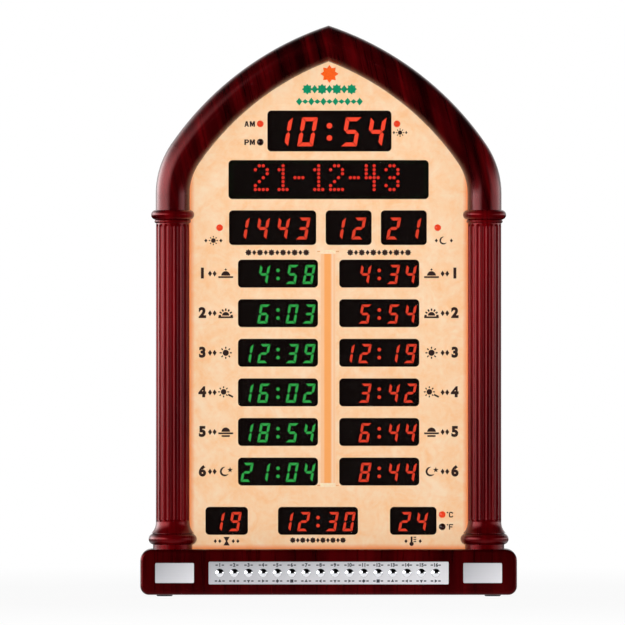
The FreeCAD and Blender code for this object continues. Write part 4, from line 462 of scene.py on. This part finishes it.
class Marks:
    """Flat printed shapes that share an ink: drawn in millimetres in X and Z, then raised."""

    def __init__(self, name, material, slot="face_print", front=panel_front):
        self.name, self.material, self.slot, self.front = name, material, slot, front
        self.mesh = bmesh.new()

    def outline(self, points):
        """One closed shape, given as corners in millimetres."""
        back = self.front + INK_BEDDED
        face = self.mesh.faces.new([self.mesh.verts.new((x * MM, back, z * MM)) for x, z in points])
        raised = bmesh.ops.extrude_face_region(self.mesh, geom=[face])
        moved = [item for item in raised["geom"] if isinstance(item, bmesh.types.BMVert)]
        bmesh.ops.translate(self.mesh, verts=moved, vec=(0, -INK_DEPTH - INK_BEDDED, 0))

    def rectangle(self, x, z, width, height):
        """A rectangle about its middle."""
        half, rise = width / 2, height / 2
        self.outline([(x - half, z - rise), (x + half, z - rise), (x + half, z + rise),
                      (x - half, z + rise)])

    def bar(self, start, end, width):
        """A stroke between two points."""
        start, end = Vector(start), Vector(end)
        along = end - start
        side = Vector((-along.y, along.x)).normalized() * (width / 2)
        self.outline([start - side, end - side, end + side, start + side])

    def disc(self, x, z, radius, corners=28, start=0.0, turn=ROUND):
        """A disc or polygon, or a segment of a disc that is closed by its chord."""
        steps = corners if turn >= ROUND else corners + 1
        angles = [math.radians(start + turn * step / corners) for step in range(steps)]
        self.outline([(x + radius * math.cos(a), z + radius * math.sin(a)) for a in angles])

    def diamond(self, x, z, width, height):
        """A diamond about its middle."""
        self.outline([(x - width / 2, z), (x, z - height / 2), (x + width / 2, z),
                      (x, z + height / 2)])

    def star(self, x, z, outer, inner, tips=8):
        """A star of so many tips, one of them straight up."""
        angles = [math.pi / 2 + math.pi * step / tips for step in range(tips * 2)]
        reach = [outer if step % 2 == 0 else inner for step in range(tips * 2)]
        self.outline([(x + r * math.cos(a), z + r * math.sin(a)) for r, a in zip(reach, angles)])

    def crescent(self, x, z, radius):
        """A moon that is open to the upper right: two arcs between the same horns."""
        first_horn, spread, steps, hollow = 80.0, 250.0, 24, 0.15
        angles = [math.radians(first_horn + spread * step / steps) for step in range(steps + 1)]
        points = [Vector((x + radius * math.cos(a), z + radius * math.sin(a))) for a in angles]
        centre = (points[0] + points[-1]) / 2
        chord = (points[-1] - points[0]) / 2
        side = (Vector((x, z)) - centre).normalized() * radius * (1 + hollow)
        for step in range(1, steps):
            turn = math.pi * step / steps
            points.append(centre + chord * math.cos(turn) + side * math.sin(turn))
        self.outline(points)

    def sun(self, x, z, radius, rays=8, turn=ROUND):
        """A sun, or the part of it above a horizon."""
        ray_start, ray_end, ray_width = radius * 1.3, radius * 1.95, radius * 0.42
        centre = Vector((x, z))
        self.disc(x, z, radius, turn=turn)
        for step in range(rays if turn >= ROUND else rays + 1):
            angle = math.radians(turn * step / rays)
            way = Vector((math.cos(angle), math.sin(angle)))
            self.bar(centre + way * ray_start, centre + way * ray_end, ray_width)

    def row(self, x, z, width, height, count):
        """Stars and diamonds in turn, across this width."""
        diamond_width, diamond_height, star_notch = height * 0.62, height * 0.8, height * 0.36
        pitch = (width - height) / (count - 1)
        for number in range(count):
            spot = x - (width - height) / 2 + pitch * number
            if number % 2:
                self.diamond(spot, z, diamond_width, diamond_height)
            else:
                self.star(spot, z, height / 2, star_notch)

    def capital(self, letter, x, z, width, height):
        """One of the capitals, centred on x and z."""
        for points in CAPITALS[letter]:
            self.outline([(x + (across - 0.5) * width, z + (up - 0.5) * height)
                          for across, up in points])

    def text(self, words, x, z, height, spread):
        """Numerals of this height, centred on x and z, made bolder by the spread.

        At some spreads the font's 6, 8 or 9 doesn't fill."""
        curve = bpy.data.curves.new(self.name, "FONT")
        curve.body = words
        curve.align_x, curve.align_y = "CENTER", "CENTER"
        curve.size = height / FONT_CAP * MM
        curve.offset = spread * MM
        curve.extrude = (INK_DEPTH + INK_BEDDED) / 2
        curve.resolution_u = 6
        letters = bpy.data.objects.new(self.name, curve)
        bpy.context.scene.collection.objects.link(letters)
        flat = bpy.data.meshes.new_from_object(letters)
        upright = Matrix.Translation((x * MM, self.front + (INK_BEDDED - INK_DEPTH) / 2, z * MM))
        flat.transform(upright @ Matrix.Rotation(math.pi / 2, 4, "X"))
        self.mesh.from_mesh(flat)
        bpy.data.objects.remove(letters)
        bpy.data.curves.remove(curve)
        bpy.data.meshes.remove(flat)

    def finish(self):
        """Make the piece that holds all these shapes."""
        bmesh.ops.recalc_face_normals(self.mesh, faces=self.mesh.faces)
        mesh = bpy.data.meshes.new(self.name)
        self.mesh.to_mesh(mesh)
        self.mesh.free()
        mesh.materials.append(self.material)
        piece = bpy.data.objects.new(self.name, mesh)
        bpy.context.scene.collection.objects.link(piece)
        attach(piece, "root")


dark_ink = ink("dark_ink", INK)


def day_mark(marks, row, x, z):
    """The time of day as the sun stands: dawn, sunrise, noon, afternoon, sunset, night."""
    wide, thick = 11.0, 1.3  # of the line that is the horizon
    if row == 0:
        horizon = z - 2.6
        marks.rectangle(x, horizon, wide, thick)
        marks.disc(x, horizon + 1.1, radius=3.3, turn=180)
        marks.diamond(x, horizon + 5.6, width=1.7, height=1.8)
    elif row == 1:
        horizon = z - 3.0
        marks.rectangle(x, horizon, wide, thick)
        marks.sun(x, horizon + 1.2, radius=2.7, rays=6, turn=180)
    elif row == 2:
        marks.sun(x, z, radius=2.3)
    elif row == 3:
        marks.sun(x - 1.6, z + 0.4, radius=2.1)
        marks.bar((x + 1.8, z - 1.6), (x + 5.4, z - 3.4), thick)
    elif row == 4:
        horizon = z - 1.0
        marks.rectangle(x, horizon, wide, thick)
        marks.disc(x, horizon + 1.1, radius=3.2, turn=180)
        marks.rectangle(x, horizon - 2.0, wide * 0.55, thick)
    else:
        marks.crescent(x - 0.9, z, radius=3.5)
        marks.star(x + 3.2, z + 1.2, outer=2.1, inner=0.95, tips=5)


def row_marks():
    """Beside each row, outward: the time of day, two diamonds and the row's number."""
    marks = Marks("row_marks", dark_ink)
    day_reach, leader_reach, number_reach = 38.9, 48.9, 56.3  # from the middle of the window
    for side, node in ((-1, "left_row_displays"), (1, "right_row_displays")):
        for row, place in enumerate(places(node)):
            marks.text(str(row + 1), place.x + side * number_reach, place.z, height=7.0, spread=0.6)
            for step in (-1, 1):
                marks.diamond(place.x + side * leader_reach + step * 1.7, place.z,
                              width=3.0, height=4.4)
            day_mark(marks, row, place.x + side * day_reach, place.z)
    marks.finish()


def hourglass(marks, x, z):
    """Two triangles that meet in a narrow neck."""
    wide, high, neck = 4.6, 6.4, 1.0
    marks.outline([(x - wide / 2, z + high / 2), (x - neck / 2, z), (x - wide / 2, z - high / 2),
                   (x + wide / 2, z - high / 2), (x + neck / 2, z), (x + wide / 2, z + high / 2)])


def thermometer(marks, x, z):
    """A bulb and a stem, with three lines of a scale beside it."""
    bulb, scale_top, scale_pitch = z - 2.0, z + 2.9, 1.6
    marks.disc(x, bulb, radius=1.6)
    marks.rectangle(x, bulb + 3.3, width=1.4, height=4.2)
    for step in range(3):
        marks.rectangle(x + 2.4, scale_top - step * scale_pitch, width=2.0, height=0.8)


def heading_marks():
    """Rows of stars and diamonds over both columns of times and under the middle window, an
    hourglass under the left window and a thermometer under the right one."""
    marks = Marks("heading_marks", dark_ink)
    above, below, sign_below = 15.7, 14.4, 15.1  # from the middle of a window
    left_top, right_top = places("left_row_displays")[0], places("right_row_displays")[0]
    left, centre, right = places("bottom_displays")
    for x, window in ((left_top.x - 0.5, left_top), (right_top.x - 0.1, right_top)):
        marks.row(x, window.z + above, width=48.0, height=5.0, count=11)
    marks.row(centre.x - 0.1, centre.z - below, width=42.0, height=4.6, count=11)
    sign_z = centre.z - sign_below
    glass_x, stem_x = left.x - 0.1, right.x - 1.2
    hourglass(marks, glass_x, sign_z)
    for reach in (-8.4, -5.0, 5.0, 8.4):
        marks.diamond(glass_x + reach, sign_z, width=2.4, height=3.0)
    thermometer(marks, stem_x, sign_z)
    for reach in (-4.2, 6.4):
        marks.diamond(stem_x + reach, sign_z, width=2.4, height=3.0)
    marks.finish()


def status_marks():
    """Small marks beside the round lights: halves of the day, calendars and degrees."""
    marks = Marks("status_marks", dark_ink)
    before_noon, summer_time, left_date, right_date, celsius = places("indicator_leds_lit")
    after_noon, fahrenheit = places("indicator_leds_dark")
    letter_drop = 0.1  # of a letter's middle under its light's
    for letter, light in (("A", before_noon), ("P", after_noon)):
        z = light.z - letter_drop
        marks.capital(letter, light.x - 10.1, z, width=3.4, height=4.1)
        marks.capital("M", light.x - 5.9, z, width=3.9, height=4.1)
    sun_x, sun_z = summer_time.x + 2.3, summer_time.z - 6.5
    marks.sun(sun_x, sun_z, radius=1.6)
    for side in (-1, 1):
        marks.diamond(sun_x + side * 4.6, sun_z, width=1.8, height=2.4)
    date_reach, date_drop = 4.6, 9.6  # outward of the date's lights and down
    for side, light in ((-1, left_date), (1, right_date)):
        for step in (-1, 1):
            marks.diamond(light.x + side * date_reach + step * 5.6, light.z - date_drop,
                          width=2.3, height=2.9)
    marks.sun(left_date.x - date_reach, left_date.z - date_drop, radius=1.75)
    marks.crescent(right_date.x + date_reach - 0.4, right_date.z - date_drop, radius=2.9)
    for letter, light in (("C", celsius), ("F", fahrenheit)):
        z = light.z - letter_drop
        marks.disc(light.x + 3.9, z + 1.6, radius=0.55)
        marks.capital(letter, light.x + 6.5, z, width=3.1, height=4.2)
    marks.finish()


def pillar():
    """The printed pillar between the two columns of times, with a pale cap and foot, and short
    lines beside them."""
    rows = places("left_row_displays")
    left, right, foot, head = -6.1, 5.2, rows[-1].z - 11.5, rows[0].z + 17.7
    centre, wide = (left + right) / 2, right - left
    end = 3.0  # height of the cap and of the foot
    line_width, line_height, line_reach, line_inset = wide * 0.2, 0.8, wide * 0.62, 1.2
    marks = Marks("printed_pillar", pillar_print(left * MM, right * MM))
    marks.rectangle(centre, (foot + head) / 2, wide, head - foot - end * 2)
    marks.finish()
    pale = Marks("pillar_ends", ink("pale_ink", srgb(254, 216, 180)))
    for z in (foot + end / 2, head - end / 2):
        pale.rectangle(centre, z, wide, end)
    pale.finish()
    lines = Marks("pillar_lines", ink("pillar_ink", srgb(226, 166, 116)))
    for side in (-1, 1):
        for z in (head - line_inset, foot + line_inset):
            lines.rectangle(centre + side * line_reach, z, line_width, line_height)
    lines.finish()


def ornament():
    """A plain geometric ornament between the time window and the apex."""
    window = middle(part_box("time_display")) / MM
    star_up, band_up, stones_up = 42.5, 31.1, 21.9  # from the middle of the window
    star = Marks("apex_star", ink("orange_ink", ORNAMENT_ORANGE))
    star.star(window.x, window.z + star_up, outer=6.7, inner=4.6)
    star.finish()
    band = Marks("apex_band", ink("green_ink", ORNAMENT_GREEN))
    band.row(window.x, window.z + band_up, width=41.0, height=8.0, count=7)
    pitch, stones, tall, low = 4.5, 5, 5.8, 3.6
    for step in range(-stones, stones + 1):
        band.diamond(window.x + step * pitch, window.z + stones_up, width=4.6,
                     height=tall if step % 2 else low)
    band.finish()


def button_marks():
    """Numbers above the buttons and a plain sign below each, between short dashes."""
    marks = Marks("button_marks", ink("strip_ink", STRIP_INK), "satin_silver", strip_front)
    reach, sign, dash = 5.9, 1.4, 1.8  # up and down from a button; size of a sign; length of a dash
    beside_digit, beside_digits, beside_sign = 2.3, 2.9, 2.8
    for number, name in enumerate(button_names, start=1):
        place = middle(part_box(name)) / MM
        above, below = place.z + reach, place.z - reach
        marks.text(str(number), place.x, above, height=2.4, spread=0.19)
        beside_number = beside_digit if number < 10 else beside_digits
        for side in (-1, 1):
            marks.rectangle(place.x + side * beside_number, above, width=dash, height=0.9)
            marks.rectangle(place.x + side * beside_sign, below, width=dash, height=1.0)
        kind = (number - 1) % 6
        if kind < 4:
            marks.disc(place.x, below, sign, corners=3, start=90 * (kind + 1))
        elif kind == 4:
            marks.diamond(place.x, below, sign * 2, sign * 2)
        else:
            marks.rectangle(place.x, below, sign * 1.7, sign * 1.7)
    marks.finish()


row_marks()
heading_marks()
status_marks()
pillar()
ornament()
button_marks()

# ---------------------------------------------------------------- studio

LENS, SENSOR = 800.0, 36.0  # millimetres
CLIP_END = 50.0
FLOOR_SIDE, FLOOR_TONE = 12.0, 0.9
FLOOR_SEEN = 0.92  # share of the floor's picture that is white whatever falls on it
SHADOW_REACH = 0.4, 1.2  # metres over which the floor goes over into the white backdrop
GLOSS_REACH = 0.05, 0.35  # metres over which the floor fades out of gloss

# strengths of the world: two walls and the dark between them, which only gloss sees, and the even
# light that matt surfaces see in front of the clock and behind it
LEFT_WALL, RIGHT_WALL, DARK = 10.0, 4.5, 0.004
AMBIENT_FRONT, AMBIENT_BEHIND = 0.17, 0.8
# where each of them begins and ends, as the X, Y or Z of a direction one long
LEFT_WALL_X, LEFT_WALL_Z = (-0.78, -0.22), (0.15, 0.70)
RIGHT_WALL_X, RIGHT_WALL_Z = (0.55, 0.95), (0.05, 0.35)
BACKDROP_Y, AMBIENT_Y = (0.4, 0.95), (0.0, 0.5)

FILL_WATTS, FILL_SIDE, FILL_PLACE = 148.0, 1.2, (0.0, -4.0, 0.3)
AIM = 0.0, 0.0, 0.21


def seen_directly(build):
    """1 for what the camera sees, also through clear things, and all the outputs of the light's
    path."""
    path = build.add("ShaderNodeLightPath").outputs
    return build.maths("MAXIMUM", path["Is Camera Ray"], path["Is Transmission Ray"]), path


def floor():
    """White floor that keeps a soft shadow.  Gloss near the clock shows it white too."""
    half = FLOOR_SIDE / 2
    mesh = bpy.data.meshes.new("floor")
    mesh.from_pydata([(-half, -half, 0), (half, -half, 0), (half, half, 0), (-half, half, 0)], [],
                     [(0, 1, 2, 3)])
    plane = bpy.data.objects.new("floor", mesh)
    bpy.context.scene.collection.objects.link(plane)
    material = bpy.data.materials.new("floor")
    material.use_nodes = True
    material.node_tree.nodes.clear()
    build = Nodes(material.node_tree)
    direct, path = seen_directly(build)
    reach = build.add("ShaderNodeVectorMath", {
        0: build.add("ShaderNodeTexCoord").outputs["Object"]}, operation="LENGTH")
    seen = build.level(reach.outputs["Value"], *SHADOW_REACH, FLOOR_SEEN, 1.0)
    share = build.maths("MAXIMUM", build.maths("MULTIPLY", direct, seen), path["Is Glossy Ray"])
    near = build.level(path["Ray Length"], *GLOSS_REACH, 1.0, 0.0)
    matt = build.add("ShaderNodeBsdfDiffuse", {"Color": scaled(WHITE, FLOOR_TONE)})
    glow = build.add("ShaderNodeEmission", {
        "Color": WHITE, "Strength": build.maths("MAXIMUM", direct, near)})
    mixed = build.add("ShaderNodeMixShader", {0: share, 1: matt.outputs[0], 2: glow.outputs[0]})
    build.add("ShaderNodeOutputMaterial", {"Surface": mixed.outputs[0]})
    mesh.materials.append(material)


def world():
    """White to the camera.  Gloss sees the same white behind the clock, a bright wall on each side
    and a dark studio in front; matt surfaces see an even light, brighter behind."""
    scene_world = bpy.data.worlds.new("studio")
    bpy.context.scene.world = scene_world
    scene_world.use_nodes = True
    scene_world.node_tree.nodes.clear()
    build = Nodes(scene_world.node_tree)
    way = build.axes(build.add("ShaderNodeTexCoord").outputs["Generated"])
    smooth = {"interpolation_type": "SMOOTHSTEP"}
    left = build.maths("MULTIPLY",
                       build.level(way["X"], *LEFT_WALL_X, LEFT_WALL, DARK, **smooth),
                       build.level(way["Z"], *LEFT_WALL_Z, 1.0, 0.0, **smooth))
    right = build.maths("MULTIPLY",
                        build.level(way["X"], *RIGHT_WALL_X, 0.0, RIGHT_WALL, **smooth),
                        build.level(way["Z"], *RIGHT_WALL_Z, 1.0, 0.0, **smooth))
    walls = build.maths("ADD", left, right)
    gloss = build.mix(build.level(way["Y"], *BACKDROP_Y, **smooth), walls, 1.0)
    matt = build.level(way["Y"], *AMBIENT_Y, AMBIENT_FRONT, AMBIENT_BEHIND, **smooth)
    direct, path = seen_directly(build)
    strength = build.mix(direct, build.mix(path["Is Glossy Ray"], matt, gloss), 1.0)
    background = build.add("ShaderNodeBackground", {"Color": WHITE, "Strength": strength})
    build.add("ShaderNodeOutputWorld", {"Surface": background.outputs[0]})


def fill_lamp():
    """A broad lamp far in front, a little above the clock's middle, that doesn't show in gloss."""
    data = bpy.data.lights.new("front_fill", "AREA")
    data.shape = "SQUARE"
    data.size = FILL_SIDE
    data.energy = FILL_WATTS
    lamp_object = bpy.data.objects.new("front_fill", data)
    lamp_object.location = FILL_PLACE
    toward = Vector(AIM) - lamp_object.location
    lamp_object.rotation_euler = toward.to_track_quat("-Z", "Y").to_euler()
    lamp_object.visible_glossy = False
    lamp_object.visible_camera = False
    bpy.context.scene.collection.objects.link(lamp_object)


def camera():
    """Straight on, from far away with a long lens; a small shift sets the clock in its frame."""
    wide = (plinth_box[1].x - plinth_box[0].x) * PHOTO_SIDE / PLINTH_WIDTH_PX
    between_fronts = (plinth_box[0].y + panel_front) / 2
    height = (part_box("rubber_feet")[0].z + arch_box[1].z) / 2
    data = bpy.data.cameras.new("camera")
    data.sensor_width, data.lens = SENSOR, LENS
    data.clip_end = CLIP_END
    data.shift_x = (PHOTO_SIDE / 2 - CLOCK_CENTRE_PX[0]) / PHOTO_SIDE
    data.shift_y = (CLOCK_CENTRE_PX[1] - PHOTO_SIDE / 2) / PHOTO_SIDE
    camera_object = bpy.data.objects.new("camera", data)
    camera_object.location = (0, between_fronts - wide * LENS / SENSOR, height)
    camera_object.rotation_euler = (math.pi / 2, 0, 0)
    bpy.context.scene.collection.objects.link(camera_object)
    bpy.context.scene.camera = camera_object


floor()
world()
fill_lamp()
camera()
bpy.context.scene.view_settings.view_transform = "Standard"
